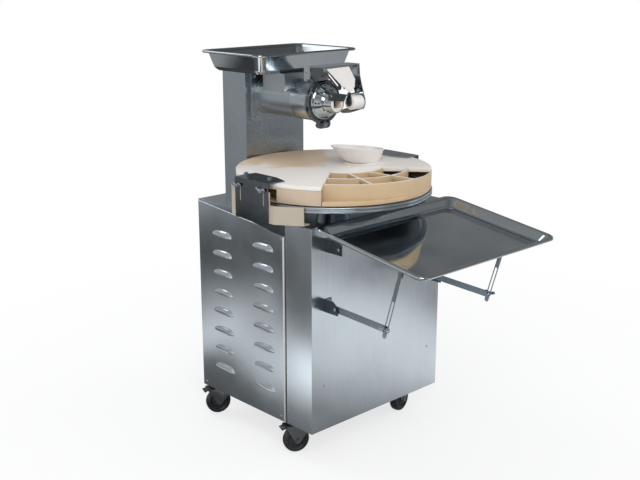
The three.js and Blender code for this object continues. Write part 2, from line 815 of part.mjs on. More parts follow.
function makeTurntableShaft() {
  const bottom = deckTop - deckSheet - turnGearboxHeight - shaftTail;
  return turned([
    [0, bottom],
    [turntableShaftRadius, bottom],
    [turntableShaftRadius, bearingTop + seatGap],
    [collarRadius, bearingTop + seatGap],
    [collarRadius, collarTop],
    [turntableShaftRadius, collarTop],
    [turntableShaftRadius, turntableTop - seatGap],
    [0, turntableTop - seatGap],
  ], roundSides);
}

function makeTurntableBearing() {
  const bottom = deckTop + seatGap;
  const bore = boreRadius(turntableShaftRadius, roundSides);
  return turned([
    [bore, bottom],
    [bearingRadius, bottom],
    [bearingRadius, bottom + bearingFlange],
    [bearingBossRadius, bottom + bearingFlange],
    [bearingBossRadius - seatGap, bearingTop],
    [bore, bearingTop],
    [bore, bottom],
  ], roundSides);
}

// Rounding track over the turntable: cover, skirt and spiral guide, with an open window
// at the front that shows the channel
const trackGap = 3.1;
const trackBottom = turntableTop + trackGap;
const trackHeight = 56.2;
const trackTop = trackBottom + trackHeight;
const coverThickness = 12;
const skirtThickness = 8;
const guideThickness = 8;
const baseFlangeHeight = 12;
const ribThickness = 8;
const windowStart = -141;
const windowEnd = -49.5;
const windowRadiusStart = 90;
const windowRadiusEnd = 156;
const windowReachShare = 1.2;
const windowSteps = 12;
const outletStart = -182;
const outletEnd = -167;
const spiralPitch = 84;
const spiralRadius = 118;
const spiralZeroDegrees = -95;
const spiralShift = 25;
const spiralShiftDegrees = -15;
const spiralStart = -190;
const spiralEnd = 668;
const spiralStep = 12;
const guideRoomBefore = 70;
const guideRoomAfter = 8;
const lastTurnStart = 300;
const lastTurnHoldEnd = 520;
const lastTurnRejoin = 575;
const outerTurns = 720;
const crossRibDegrees = [-111, -82];
const inletRadius = 42;
const funnelPlace = [117, -12];

function spiralRadiusAt(degrees) {
  const turn = (degrees - spiralZeroDegrees) / 360;
  const shift = spiralShift * Math.cos(THREE.MathUtils.degToRad(degrees - spiralShiftDegrees));
  return spiralRadius + spiralPitch * turn + shift;
}

// An eccentric spiral; its last turn keeps a full channel's width from the skirt, then
// swings out to turn the dough through the outlet.
function guideRadius(degrees) {
  if (degrees <= lastTurnStart || degrees >= lastTurnRejoin) {
    return spiralRadiusAt(degrees);
  }
  const held = spiralRadiusAt(lastTurnStart);
  const share = Math.max(0, (degrees - lastTurnHoldEnd) / (lastTurnRejoin - lastTurnHoldEnd));
  return held + (spiralRadiusAt(lastTurnRejoin) - held) * share;
}

function polar(radius, degrees) {
  const angle = THREE.MathUtils.degToRad(degrees);
  return [radius * Math.cos(angle), radius * Math.sin(angle)];
}

function spiralBand(start, end, halfWidth) {
  const steps = Math.ceil((end - start) / spiralStep);
  const outside = [];
  const inside = [];
  for (let i = 0; i <= steps; i++) {
    const degrees = start + ((end - start) * i) / steps;
    outside.push(polar(guideRadius(degrees) + halfWidth, degrees));
    inside.push(polar(guideRadius(degrees) - halfWidth, degrees));
  }
  return [...outside, ...inside.reverse()];
}

// The window: from its inner curve out past the rim, shrunk by a margin where ribs stand in it
function windowOutline(margin) {
  const inner = [];
  for (let i = 0; i <= windowSteps; i++) {
    const share = i / windowSteps;
    const degrees = windowStart + (windowEnd - windowStart) * share;
    const radius = windowRadiusStart + (windowRadiusEnd - windowRadiusStart) * share + margin;
    const turn = (margin / radius) * (180 / Math.PI);
    inner.push(polar(radius, THREE.MathUtils.clamp(degrees, windowStart + turn, windowEnd - turn)));
  }
  const reach = discRadius * windowReachShare;
  const turn = (margin / reach) * (180 / Math.PI);
  return [...inner, ...arcPoints(reach, windowEnd - turn, windowStart + turn, windowSteps)];
}

function makeTrackCover() {
  const bottom = trackTop - coverThickness;
  const lid = rod('z', discRadius, [0, 0], bottom, trackTop, fineSides);
  const window = prism(windowOutline(0), 'z', bottom - cutOverrun, trackTop + cutOverrun);
  const inlet = rod('z', inletRadius, funnelPlace, bottom - cutOverrun, trackTop + cutOverrun);
  return cut(lid, window, inlet);
}

function makeTrackSkirt() {
  const top = trackTop - coverThickness - seatGap;
  const ring = cut(
    rod('z', discRadius, [0, 0], trackBottom, top, fineSides),
    rod('z', discRadius - skirtThickness, [0, 0], trackBottom - cutOverrun, top + cutOverrun, fineSides),
  );
  const guideRoom = prism(
    spiralBand(spiralEnd - guideRoomBefore, spiralEnd + guideRoomAfter, guideThickness / 2 + seatGap),
    'z', trackBottom - cutOverrun, trackTop);
  const windowRoom = prism(sector(windowStart, windowEnd), 'z', trackBottom - cutOverrun, trackTop);
  const outletTop = top - coverThickness / 2;
  const outlet = prism(sector(outletStart, outletEnd), 'z', trackBottom - cutOverrun, outletTop);
  return cut(ring, guideRoom, windowRoom, outlet);
}

function sector(fromDegrees, toDegrees) {
  return [[0, 0], ...arcPoints(discRadius * windowReachShare, fromDegrees, toDegrees, windowSteps)];
}

// One wall spirals outwards; it rises flush with the cover inside the window, where it is
// the track's outer wall on a base flange, and two cross ribs tie its turns together.
function makeSpiralGuide() {
  const underCover = trackTop - coverThickness - seatGap;
  const band = spiralBand(spiralStart, spiralEnd, guideThickness / 2);
  const wall = prism(band, 'z', trackBottom, underCover);
  const inWindow = prism(windowOutline(seatGap), 'z', trackBottom - cutOverrun, trackTop + cutOverrun);
  const tall = prism(band, 'z', underCover - cutOverrun, trackTop);
  const flangeOutline = [
    ...arcPoints(discRadius * windowReachShare, windowStart, windowEnd, windowSteps),
    ...spiralCentre(windowEnd + outerTurns, windowStart + outerTurns),
  ];
  const flange = prism(flangeOutline, 'z', trackBottom, trackBottom + baseFlangeHeight);
  const ribs = crossRibDegrees.map((degrees) => {
    const from = polar(guideRadius(degrees) - guideThickness, degrees);
    const to = polar(guideRadius(degrees + outerTurns), degrees);
    return prism(bar(from, to, ribThickness / 2, 2), 'z', trackTop - coverThickness, trackTop);
  });
  const raised = join(tall, flange, ...ribs).intersect(inWindow);
  const limit = rod('z', discRadius, [0, 0], trackBottom - cutOverrun, trackTop + cutOverrun, fineSides);
  return join(wall, raised).intersect(limit);
}

function spiralCentre(start, end) {
  const points = [];
  for (let i = 0; i <= windowSteps; i++) {
    const degrees = start + ((end - start) * i) / windowSteps;
    points.push(polar(guideRadius(degrees), degrees));
  }
  return points;
}

// Funnel: a scoop-like bowl that reaches under the nozzle, on a round base flange
const funnelFlangeRadius = 66;
const funnelFlangeHeight = 4;
const funnelNeckRadius = 49;
const funnelRimX = 103;
const funnelRimY = 60;
const funnelRimShift = -24;
const funnelRimLow = 34;
const funnelRimHigh = 62;
const funnelWall = 4;
const funnelSwellPower = 0.75;
const funnelSides = 22;
const funnelSteps = 3;

function funnelRing(share, wall) {
  const points = [];
  const bulge = Math.pow(share, funnelSwellPower);
  for (let i = 0; i < funnelSides; i++) {
    const angle = (2 * Math.PI * i) / funnelSides;
    const radiusX = funnelNeckRadius + (funnelRimX - funnelNeckRadius) * bulge - wall;
    const radiusY = funnelNeckRadius + (funnelRimY - funnelNeckRadius) * bulge - wall;
    const tilt = (1 - Math.cos(angle)) / 2;
    const height = funnelRimLow + (funnelRimHigh - funnelRimLow) * tilt;
    points.push(new THREE.Vector3(
      funnelRimShift * share + radiusX * Math.cos(angle),
      radiusY * Math.sin(angle),
      funnelFlangeHeight / 2 + height * share));
  }
  return points;
}

function makeFunnel() {
  const rings = [];
  for (let i = 0; i <= funnelSteps; i++) {
    rings.push(funnelRing(i / funnelSteps, 0));
  }
  for (let i = funnelSteps; i >= 0; i--) {
    rings.push(funnelRing(i / funnelSteps, funnelWall));
  }
  const bowl = loft(rings, true);
  const throatRadius = funnelNeckRadius - funnelWall;
  const flange = cut(
    rod('z', funnelFlangeRadius, [0, 0], 0, funnelFlangeHeight, funnelSides),
    rod('z', throatRadius, [0, 0], -cutOverrun, funnelFlangeHeight + cutOverrun, funnelSides),
  );
  return join(bowl, flange);
}

// Side brackets: a foot on the deck, an upright plate and a flange folded over the cover
const bracketGap = 20;
const bracketReach = turntableRadius + bracketGap;
const bracketHalf = 74;
const bracketCentre = 9;
const bracketFoot = 84;
const bracketFlange = 78;
const bracketFlangeShares = [[1, 0], [1, 1], [0.5, 1.02], [0, 0.98], [0, 0.35], [0.2, -0.02]];
const bracketSlotHalf = 4;
const bracketSlotLength = 44;
const bracketSlotInset = 22;
const bracketSlotTop = 20;

function makeSideBracket(side, slotted) {
  const foot = deckTop + seatGap;
  const top = trackTop + seatGap;
  const y0 = bracketCentre - bracketHalf;
  const y1 = bracketCentre + bracketHalf;
  const outer = bracketReach;
  const upright = box(outer - plate, outer, y0, y1, foot, top + plate);
  const base = box(outer - bracketFoot, outer, y0, y1, foot, foot + plate);
  const flangeOutline = scaled(bracketFlangeShares, bracketFlange, y1 - y0, [outer - bracketFlange, y0]);
  const flange = prism(flangeOutline, 'z', top, top + plate);
  let bracket = join(upright, base, flange);
  if (slotted) {
    for (const y of [y0 + bracketSlotInset, y1 - bracketSlotInset]) {
      const slotTop = top - bracketSlotTop;
      const slot = bar([y, slotTop - bracketSlotLength], [y, slotTop], bracketSlotHalf);
      bracket = bracket.subtract(prism(slot, 'x', outer - plate - cutOverrun, outer + cutOverrun));
    }
  }
  return side < 0 ? bracket.mirror([1, 0, 0]) : bracket;
}

// Outlet chute: boards that wrap the turntable's left edge and a floor that leads to the tray
const chuteWall = 6;
const chuteFloor = 4;
const chuteHeight = 91;
const chuteLowHeight = 54;
const chuteRear = 105;
const chuteBendY = -85;
const chuteEnd = [-273, -159];
const chuteInner = 250;

function makeOutletChute() {
  const outer = bracketReach - plate - seatGap;
  const bottom = deckTop + plate + 2 * seatGap;
  const boards = foldedSheet([
    [-outer, chuteRear],
    [-outer, chuteBendY],
    chuteEnd,
  ], chuteWall);
  const low = prism(boards, 'z', bottom, bottom + chuteLowHeight);
  const tallFront = bracketCentre - bracketHalf;
  const tall = box(-outer, -outer + chuteWall, tallFront, chuteRear, bottom, bottom + chuteHeight);
  const floor = prism([
    [-outer, chuteRear],
    [-outer, chuteBendY],
    chuteEnd,
    [-chuteInner, chuteEnd[1]],
    [-chuteInner, chuteRear],
  ], 'z', bottom, bottom + chuteFloor);
  return join(low, tall, floor);
}

// Feed head along the barrel axis: barrel, screw, bearing, clamp ring and nozzle
const barrelBore = 50;
const barrelLength = 250;
const rootFlangeThickness = 12;
const rootFlangeCorner = 12;
const rootRingRadius = 67;
const rootRingWidth = 6;
const rootWall = 8;
const endFlangeRadius = 64.5;
const endFlangeThickness = 9;
const throatHalfX = 58;
const throatHalfY = 52;
const throatWall = 6;
const throatSetForward = 94.3;
const throatFlange = 12;
const throatFlangeThickness = 5;
const screwShaftRadius = 14;

const barrelBack = columnFront - seatGap;
const barrelFront = barrelBack - barrelLength;
const throatCentreY = columnFront - throatSetForward;
const throatTop = columnTop - barrelHeight;

function makeFeedBarrel() {
  const rootFace = barrelBack - rootFlangeThickness;
  const tube = rod('y', barrelRadius, [0, 0], barrelFront, barrelBack, fineSides);
  const rootOutline = roundedRectangle(
    -rootFlangeHalf, rootFlangeHalf, -rootFlangeHalf, rootFlangeHalf, rootFlangeCorner);
  const flange = prism(rootOutline, 'y', rootFace, barrelBack);
  const ring = rod('y', rootRingRadius, [0, 0], rootFace - rootRingWidth, barrelBack, fineSides);
  const endFlange = rod(
    'y', endFlangeRadius, [0, 0], barrelFront, barrelFront + endFlangeThickness, fineSides);
  const throat = box(
    -throatHalfX, throatHalfX,
    throatCentreY - throatHalfY, throatCentreY + throatHalfY, 0, throatTop);
  const throatLip = box(
    -throatHalfX - throatFlange, throatHalfX + throatFlange,
    throatCentreY - throatHalfY - throatFlange, throatCentreY + throatHalfY + throatFlange,
    throatTop - throatFlangeThickness, throatTop);
  const bore = rod('y', barrelBore, [0, 0], barrelFront - cutOverrun, rootFace - rootWall, fineSides);
  const shaftBore = rod('y', boreRadius(screwShaftRadius, roundSides), [0, 0], 0, barrelBack + cutOverrun);
  const throatBore = box(
    -throatHalfX + throatWall, throatHalfX - throatWall,
    throatCentreY - throatHalfY + throatWall, throatCentreY + throatHalfY - throatWall,
    0, throatTop + cutOverrun);
  return cut(join(tube, flange, ring, endFlange, throat, throatLip), bore, shaftBore, throatBore);
}

// Feed screw: a flight wound round a tapering core, its pitch shorter towards the nozzle
const flightRadius = 48.8;
const flightThickness = 5;
const flightBackRoom = 28;
const flightFrontRoom = 3;
const flightTurns = 4.25;
const flightStepsPerTurn = 12;
const flightPitchShare = 0.25;
const coreBackRadius = 17;
const coreFrontRadius = 25;
const coreNose = 21;
const screwTailReach = 16;

const flightBack = barrelBack - flightBackRoom;
const flightFront = barrelFront + flightFrontRoom;
const screwTail = chainPlaneY + screwTailReach;

function makeFeedScrew() {
  const core = turnedAlongY([
    [0, flightFront - coreNose],
    [coreFrontRadius / 2, flightFront - coreNose],
    [coreFrontRadius, flightFront],
    [coreBackRadius, flightBack],
    [0, flightBack],
  ], smallSides);
  const shaft = rod('y', screwShaftRadius, [0, 0], flightBack - flightThickness, screwTail);
  return join(core, shaft, loft(flightRings(), false));
}

function flightRings() {
  const steps = Math.round(flightTurns * flightStepsPerTurn);
  const length = flightBack - flightFront - flightThickness;
  const rings = [];
  for (let i = 0; i <= steps; i++) {
    const share = i / steps;
    const angle = 2 * Math.PI * flightTurns * share;
    const wound = share + flightPitchShare * share * (1 - share);
    const y = flightBack - flightThickness / 2 - length * wound;
    const coreHere = coreBackRadius + (coreFrontRadius - coreBackRadius) * share;
    const root = coreHere - flightThickness / 2;
    const half = flightThickness / 2;
    const corners = [[root, half], [flightRadius, half / 2], [flightRadius, -half / 2], [root, -half]];
    rings.push(corners.map(([radius, along]) => new THREE.Vector3(
      radius * Math.cos(angle), y + along, radius * Math.sin(angle))));
  }
  return rings;
}

const screwBearingRadius = 44;
const screwBearingBoss = 30;
const screwBearingFlange = 8;
const screwBearingLength = 46;

function makeScrewBearing() {
  const face = columnFront + columnWall + seatGap;
  const bore = boreRadius(screwShaftRadius, roundSides);
  return turnedAlongY([
    [bore, face],
    [screwBearingRadius, face],
    [screwBearingRadius, face + screwBearingFlange],
    [screwBearingBoss, face + screwBearingFlange],
    [screwBearingBoss, face + screwBearingLength],
    [bore, face + screwBearingLength],
    [bore, face],
  ], roundSides);
}

// Clamp ring with a lug above and below, bolted to the barrel's end flange
const clampRadius = 68;
const clampThickness = 15;
const lugTip = 83;
const lugHalfWidth = 26;
const lugCorner = 12;
const lugHoleRadius = 4.5;
const lugPlaces = [[75, 97], [70, 271]];
const nozzleBaseRadius = 57;
const clampFit = 0.6;

const clampBack = barrelFront - seatGap;
const clampFront = clampBack - clampThickness;

function makeClampRing() {
  const side = lugHalfWidth - lugCorner;
  const ends = [lugTip - lugCorner, nozzleBaseRadius].flatMap((out) => [[out, side], [out, -side]]);
  const lugs = lugPlaces.map(([, degrees]) => {
    const [along, across] = polar(1, degrees);
    return prism(beltRound(ends.map(([out, off]) => [
      out * along - off * across, out * across + off * along, lugCorner,
    ]), smallSides), 'y', clampFront, clampBack);
  });
  const ring = join(rod('y', clampRadius, [0, 0], clampFront, clampBack, fineSides), ...lugs);
  const from = clampFront - cutOverrun;
  const to = clampBack + cutOverrun;
  const bore = rod('y', nozzleBaseRadius + clampFit, [0, 0], from, to, fineSides);
  const holes = lugPlaces.map((place) =>
    rod('y', lugHoleRadius, polar(...place), from, to, smallSides));
  return cut(ring, bore, ...holes);
}

// Nozzle: a polished bell that narrows to the mouth, with side fins and the knife's pin
const nozzleLength = 72;
const nozzleTipRadius = 30;
const nozzleNeckRadius = 33;
const nozzleNeckLength = 24;
const nozzleShoulder = 11;
const nozzleMouthRadius = 27;
const nozzleBushLength = 26;
const nozzleSides = 28;
const finHalf = 3;
const finReach = 50;
const finDepth = 24;
const knifePivot = [-31, 26];
const knifeBossRadius = 7;
const knifePinRadius = 4;
const knifeThickness = 3;
const knifeGap = 1.5;

const nozzleTip = barrelFront - nozzleLength;
const knifeBack = nozzleTip - knifeGap;
const knifeFront = knifeBack - knifeThickness;

function makeNozzle() {
  const bell = turnedAlongY([
    [barrelBore, clampBack],
    [nozzleBaseRadius, clampBack],
    [nozzleBaseRadius, clampFront],
    [nozzleBaseRadius - nozzleShoulder / 3, clampFront - nozzleShoulder],
    [nozzleNeckRadius + nozzleShoulder / 2, nozzleTip + nozzleNeckLength + nozzleShoulder / 3],
    [nozzleNeckRadius, nozzleTip + nozzleNeckLength],
    [nozzleTipRadius, nozzleTip],
    [nozzleMouthRadius + seatGap, nozzleTip],
    [nozzleMouthRadius + seatGap, nozzleTip + nozzleBushLength + seatGap],
    [barrelBore, clampBack],
  ], nozzleSides);
  const fin = box(-finReach, finReach, clampFront - finDepth, clampFront, -finHalf, finHalf);
  const boss = rod('y', knifeBossRadius, knifePivot, knifeBack + seatGap, clampFront, smallSides);
  const pinEnd = knifeBack + knifeThickness;
  const pin = rod('y', knifePinRadius, knifePivot, knifeFront - knifeGap, pinEnd, smallSides);
  const passage = turnedAlongY([
    [0, clampBack + cutOverrun],
    [barrelBore, clampBack + cutOverrun],
    [barrelBore, clampBack],
    [nozzleMouthRadius + seatGap, nozzleTip + nozzleBushLength + seatGap],
    [nozzleMouthRadius + seatGap, nozzleTip - cutOverrun],
    [0, nozzleTip - cutOverrun],
  ], nozzleSides);
  return join(bell, cut(join(fin, boss), passage), pin);
}

const bushHoleHalf = 15;
const bushHoleCorner = 5;

function makeNozzleBush() {
  const ring = rod('y', nozzleMouthRadius, [0, 0], nozzleTip, nozzleTip + nozzleBushLength, roundSides);
  const hole = prism(
    roundedRectangle(-bushHoleHalf, bushHoleHalf, -bushHoleHalf, bushHoleHalf, bushHoleCorner),
    'y', nozzleTip - cutOverrun, nozzleTip + nozzleBushLength + cutOverrun);
  return cut(ring, hole);
}

// Knife: a flat blade on its hub, across the upper half of the mouth
const knifeHubRadius = 10;
const knifeReach = 81;
const knifeDepth = 32;
const knifeCorner = [-12, -22];
const knifeShares = [[0.1, 1], [1, 0.63], [0.84, 0], [0, 0.25]];

function makeKnifeBlade() {
  const blade = prism(scaled(knifeShares, knifeReach, knifeDepth, knifeCorner), 'y', -knifeThickness, 0);
  const hub = rod('y', knifeHubRadius, [0, 0], -knifeThickness, 0, smallSides);
  const bore = rod(
    'y', boreRadius(knifePinRadius), [0, 0], -knifeThickness - cutOverrun, cutOverrun, smallSides);
  return cut(join(blade, hub), bore);
}

// Cutter bracket: a beam bolted over the clamp ring's upper lug, with a leg bent down at
// its left, a shelf over the nozzle, a front lip and a deep right cheek for the feeler
const shelfLeft = -86;
const shelfRight = 98;
const shelfTop = 114;
const bracketSheet = 3.5;
const beamDepth = 16;
const legWidth = 40;
const legBottom = 70;
const legFlange = 26;
const saddleLeft = -30;
const saddleRight = 14;
const saddleBottom = 66;
const lipProud = 5.7;
const lipLeft = -60;
const lipRight = 60;
const cheekProud = 25;
const cheekFoot = -47;
const cheekDepth = 109;
const cheekHeight = 161;
const cheekShares = [
  [0.75, 1], [0.26, 1], [0.23, 0.79], [0.15, 0.6], [0.07, 0.45], [0.01, 0.34], [0, 0.24],
  [0.05, 0.15], [0.61, 0.03], [0.91, 0], [1, 0.03], [0.89, 0.08], [0.41, 0.19], [0.39, 0.42],
  [0.47, 0.54], [0.49, 0.76], [0.58, 0.9], [0.75, 0.9],
];
const endBlockWidth = 8;
const endBlockDepth = 27;
const endBlockHeight = 30;
const endBlockSetback = 3;
const feelerProud = 6;
const feelerPivotHeight = 24.5;
const feelerPinRadius = 3.5;
const feelerPinProud = 0.5;

const lipFace = nozzleTip - lipProud;
const cheekFront = nozzleTip - cheekProud;
const endBlockFront = nozzleTip + endBlockSetback;
const feelerPivot = [nozzleTip - feelerProud, feelerPivotHeight];

function makeCutterBracket() {
  const back = clampFront - seatGap;
  const shelfBottom = shelfTop - bracketSheet;
  const beamBottom = shelfTop - beamDepth;
  const cheekInside = shelfRight - bracketSheet;
  const beam = prism([
    [shelfLeft, shelfTop],
    [shelfLeft, legBottom],
    [shelfLeft + legWidth, legBottom],
    [saddleLeft, saddleBottom],
    [saddleRight, saddleBottom],
    [saddleRight, beamBottom],
    [shelfRight, beamBottom],
    [shelfRight, shelfTop],
  ], 'y', back - bracketSheet, back);
  const leg = prism([
    [back, shelfTop],
    [back, legBottom],
    [back - legFlange / 2, legBottom],
    [back - legFlange, legBottom + legFlange / 2],
    [back - legFlange, shelfTop],
  ], 'x', shelfLeft, shelfLeft + bracketSheet);
  const shelf = prism([
    [shelfLeft, back],
    [shelfRight, back],
    [shelfRight, endBlockFront],
    [lipRight, lipFace],
    [lipLeft, lipFace],
    [shelfLeft, back - legFlange],
  ], 'z', shelfBottom, shelfTop);
  const lip = box(lipLeft, lipRight, lipFace, lipFace + bracketSheet, beamBottom, shelfTop);
  const cheekOutline = scaled(cheekShares, cheekDepth, cheekHeight, [cheekFront, cheekFoot]);
  const cheek = prism(cheekOutline, 'x', cheekInside, shelfRight);
  const sink = bracketSheet / 2;
  const block = box(
    cheekInside - endBlockWidth, cheekInside + sink,
    endBlockFront, endBlockFront + endBlockDepth, shelfBottom - endBlockHeight, shelfBottom + sink);
  const pinEnd = feelerArmLeft - feelerPinProud;
  const pin = rod('x', feelerPinRadius, feelerPivot, pinEnd, cheekInside + sink, smallSides);
  const lugHole = rod(
    'y', lugHoleRadius, polar(...lugPlaces[0]),
    back - bracketSheet - cutOverrun, back + cutOverrun, smallSides);
  return cut(join(beam, leg, shelf, lip, cheek, block, pin), lugHole);
}

// Deflector plate and the slotted bar behind its left edge
const deflectorThickness = 4;
const deflectorWidth = 120;
const deflectorHeight = 78;
const deflectorCorner = [-54, 31];
const deflectorShares = [[0, 0.975], [0.775, 1], [1, 0.5], [0.99, 0.19], [0.85, 0], [0.6, 0.19]];
const slottedBarFrom = [-50, 102];
const slottedBarTo = [8, 47];
const slottedBarHalf = 8;
const slottedBarThickness = 3;
const slottedBarSlotHalf = 2.5;
const slottedBarSlotShares = [0.12, 0.88];

function makeDeflectorPlate() {
  const back = lipFace - seatGap;
  const outline = scaled(deflectorShares, deflectorWidth, deflectorHeight, deflectorCorner);
  return prism(outline, 'y', back - deflectorThickness, back);
}

function makeSlottedBar() {
  const front = lipFace + bracketSheet + seatGap;
  const back = front + slottedBarThickness;
  const solid = prism(bar(slottedBarFrom, slottedBarTo, slottedBarHalf), 'y', front, back);
  const [slotFrom, slotTo] = slottedBarSlotShares.map((share) =>
    between(slottedBarFrom, slottedBarTo, share));
  const slot = prism(bar(slotFrom, slotTo, slottedBarSlotHalf), 'y', front - cutOverrun, back + cutOverrun);
  return cut(solid, slot);
}

// Feeler: a teardrop arm hung on the bracket's pin, with a free roller on its axle
const feelerArmLeft = 42.5;
const feelerArmThickness = 4;
const feelerArmEye = 6.5;
const feelerArmFoot = 11;
const rollerDrop = 2;
const rollerCentre = [feelerPivot[0], -rollerDrop];
const rollerRadius = 22;
const rollerLength = 46;
const rollerAxleRadius = 4;
const rollerEndRound = 2;

const rollerLeft = feelerArmLeft + feelerArmThickness + seatGap;
const rollerRight = rollerLeft + rollerLength;

function makeFeelerArm() {
  const eye = feelerPivot;
  const foot = rollerCentre;
  const angle = directionOf(foot, eye);
  const outline = [
    ...arcPoints(feelerArmEye, angle - 90, angle + 90, arcSteps, eye[0], eye[1]),
    ...arcPoints(feelerArmFoot, angle + 90, angle + 270, arcSteps, foot[0], foot[1]),
  ];
  const arm = prism(outline, 'x', feelerArmLeft, feelerArmLeft + feelerArmThickness);
  const axle = rod('x', rollerAxleRadius, foot, feelerArmLeft, rollerRight - rollerEndRound, smallSides);
  const bore = rod(
    'x', boreRadius(feelerPinRadius), eye, feelerArmLeft - cutOverrun, rollerLeft + cutOverrun, smallSides);
  return cut(join(arm, axle), bore);
}

function makeFeelerRoller() {
  const bore = boreRadius(rollerAxleRadius, roundSides);
  return turnedAlongX([
    [bore, 0],
    [rollerRadius - rollerEndRound, 0],
    [rollerRadius, rollerEndRound],
    [rollerRadius, rollerLength - rollerEndRound],
    [rollerRadius - rollerEndRound, rollerLength],
    [bore, rollerLength],
    [bore, 0],
  ], roundSides);
}

// Hopper pan: a deep-drawn tray with a flared, rolled rim and a square hole over the throat
const panCentreX = 27.8;
const panBehindThroat = 216;
const panBack = throatCentreY + panBehindThroat;
const panRim = 13;
const panRoll = 5;
const panSheet = 1.5;
const panCorner = 34;
const panTaper = 16;
const panFillet = 10;

function makeHopperPan() {
  const x0 = panCentreX - panWidth / 2;
  const x1 = panCentreX + panWidth / 2;
  const y1 = panBack;
  const y0 = panBack - panDepth;
  const floor = columnTop + seatGap;
  const rimTop = floor + panHeight;
  const ringAt = (inset, z, radius) =>
    roundedRing(x0 + inset, x1 - inset, y0 + inset, y1 - inset, radius, z);
  const wallTop = panRim;
  const wallBottom = panRim + panTaper;
  const hole = (z) => roundedRing(
    -throatHalfX + throatWall, throatHalfX - throatWall,
    throatCentreY - throatHalfY + throatWall, throatCentreY + throatHalfY - throatWall, throatWall / 2, z);
  return loft([
    hole(floor),
    ringAt(wallBottom + panFillet, floor, panCorner),
    ringAt(wallBottom, floor + panFillet, panCorner),
    ringAt(wallTop, rimTop - panFillet / 2, panCorner),
    ringAt(panRoll, rimTop - panSheet, panCorner),
    ringAt(panSheet, rimTop - panRoll, panCorner),
    ringAt(0, rimTop - panRoll, panCorner),
    ringAt(0, rimTop - panSheet, panCorner),
    ringAt(panSheet, rimTop, panCorner),
    ringAt(wallTop, rimTop, panCorner),
    ringAt(wallTop + panSheet, rimTop - panFillet / 2, panCorner),
    ringAt(wallBottom + panSheet, floor + panSheet + panFillet, panCorner),
    ringAt(wallBottom + panFillet + panSheet, floor + panSheet, panCorner),
    hole(floor + panSheet),
  ], true);
}

// Drop tray in its own tilted frame: x across, -y to the front, z = 0 on the rim's top
const trayRim = 13;
const trayDepth = 26;
const trayTaper = 14;
const trayCorner = 32;
const traySheet = 1.5;
const trayRoll = 5;
const trayFillet = 7;
const trayBackGap = 23;
const trayUnderChute = 24;
const trayBackRise = 10.5;

// The tray starts clear of both the cabinet's front and the end of the chute.
const trayBackY = Math.min(cabinetFront, discCentreY + chuteEnd[1] - trayUnderChute) - trayBackGap;
const trayBackHeight = deckTop + trayBackRise;

// Folding supports, in planes counted outwards from the middle of the cabinet
const supportInner = 226;
const supportThickness = 3;
const supportOuter = supportInner + supportThickness + seatGap;
const trayPivotReach = 35;
const trayPivotDrop = 60;
const armPivotReach = 20;
const armPivotDrop = 244;
const wingReach = 220;
const wingDrop = 253;
const stayPivotReach = 269;
const stayPivotDrop = 84;
const trayPivot = [trayBackY - trayPivotReach, deckTop - trayPivotDrop];
const armPivot = [trayBackY - armPivotReach, deckTop - armPivotDrop];
const wingPlace = [trayBackY - wingReach, deckTop - wingDrop];
const stayPivot = [trayBackY - stayPivotReach, deckTop - stayPivotDrop];
const pivotPinRadius = 4;
const armHalf = 10;
const stayHalf = 7;
const lugHalf = 10;
const lugFootHalf = 16;
const wingBoltRadius = 3;
const staySlotHalf = 4;
const staySlotStart = 86;
const staySlotEnd = 182;
const stayEnd = 196;
const boltHeadRadius = 6;
const boltHeadHeight = 4;
const wingHubRadius = 7;
const wingHubLength = 9;
const wingSpan = 17;
const wingHalf = 2;
const bracketPlateTop = 22;
const bracketPlateBottom = 18;
const bracketPlateReach = 11;
const bracketFlangeWidth = 26;
const pinProud = 2.5;

const trayTilt = THREE.MathUtils.degToRad(trayTiltDegrees);

function makeTrayPan() {
  const x1 = trayWidth / 2;
  const ringAt = (inset, z, radius) =>
    roundedRing(-x1 + inset, x1 - inset, -trayLength + inset, -inset, radius, z);
  const wallTop = trayRim;
  const wallBottom = trayRim + trayTaper;
  return loft([
    ringAt(wallBottom + trayFillet, -trayDepth, trayCorner),
    ringAt(wallBottom, -trayDepth + trayFillet, trayCorner),
    ringAt(wallTop, -trayFillet / 2, trayCorner),
    ringAt(trayRoll, -traySheet, trayCorner),
    ringAt(traySheet, -trayRoll, trayCorner),
    ringAt(traySheet / 2, -trayRoll, trayCorner),
    ringAt(0, -traySheet, trayCorner),
    ringAt(0, 0, trayCorner),
    ringAt(wallTop, 0, trayCorner),
    ringAt(wallTop + traySheet, -trayFillet / 2, trayCorner),
    ringAt(wallBottom + traySheet, -trayDepth + traySheet + trayFillet, trayCorner),
    ringAt(wallBottom + traySheet + trayFillet, -trayDepth + traySheet, trayCorner),
  ], false);
}

// A point of the machine's (y, z) plane in the tilted frame of the tray
function inTrayFrame([y, z]) {
  const dy = y - trayBackY;
  const dz = z - trayBackHeight;
  return [
    dy * Math.cos(trayTilt) + dz * Math.sin(trayTilt),
    -dy * Math.sin(trayTilt) + dz * Math.cos(trayTilt),
  ];
}

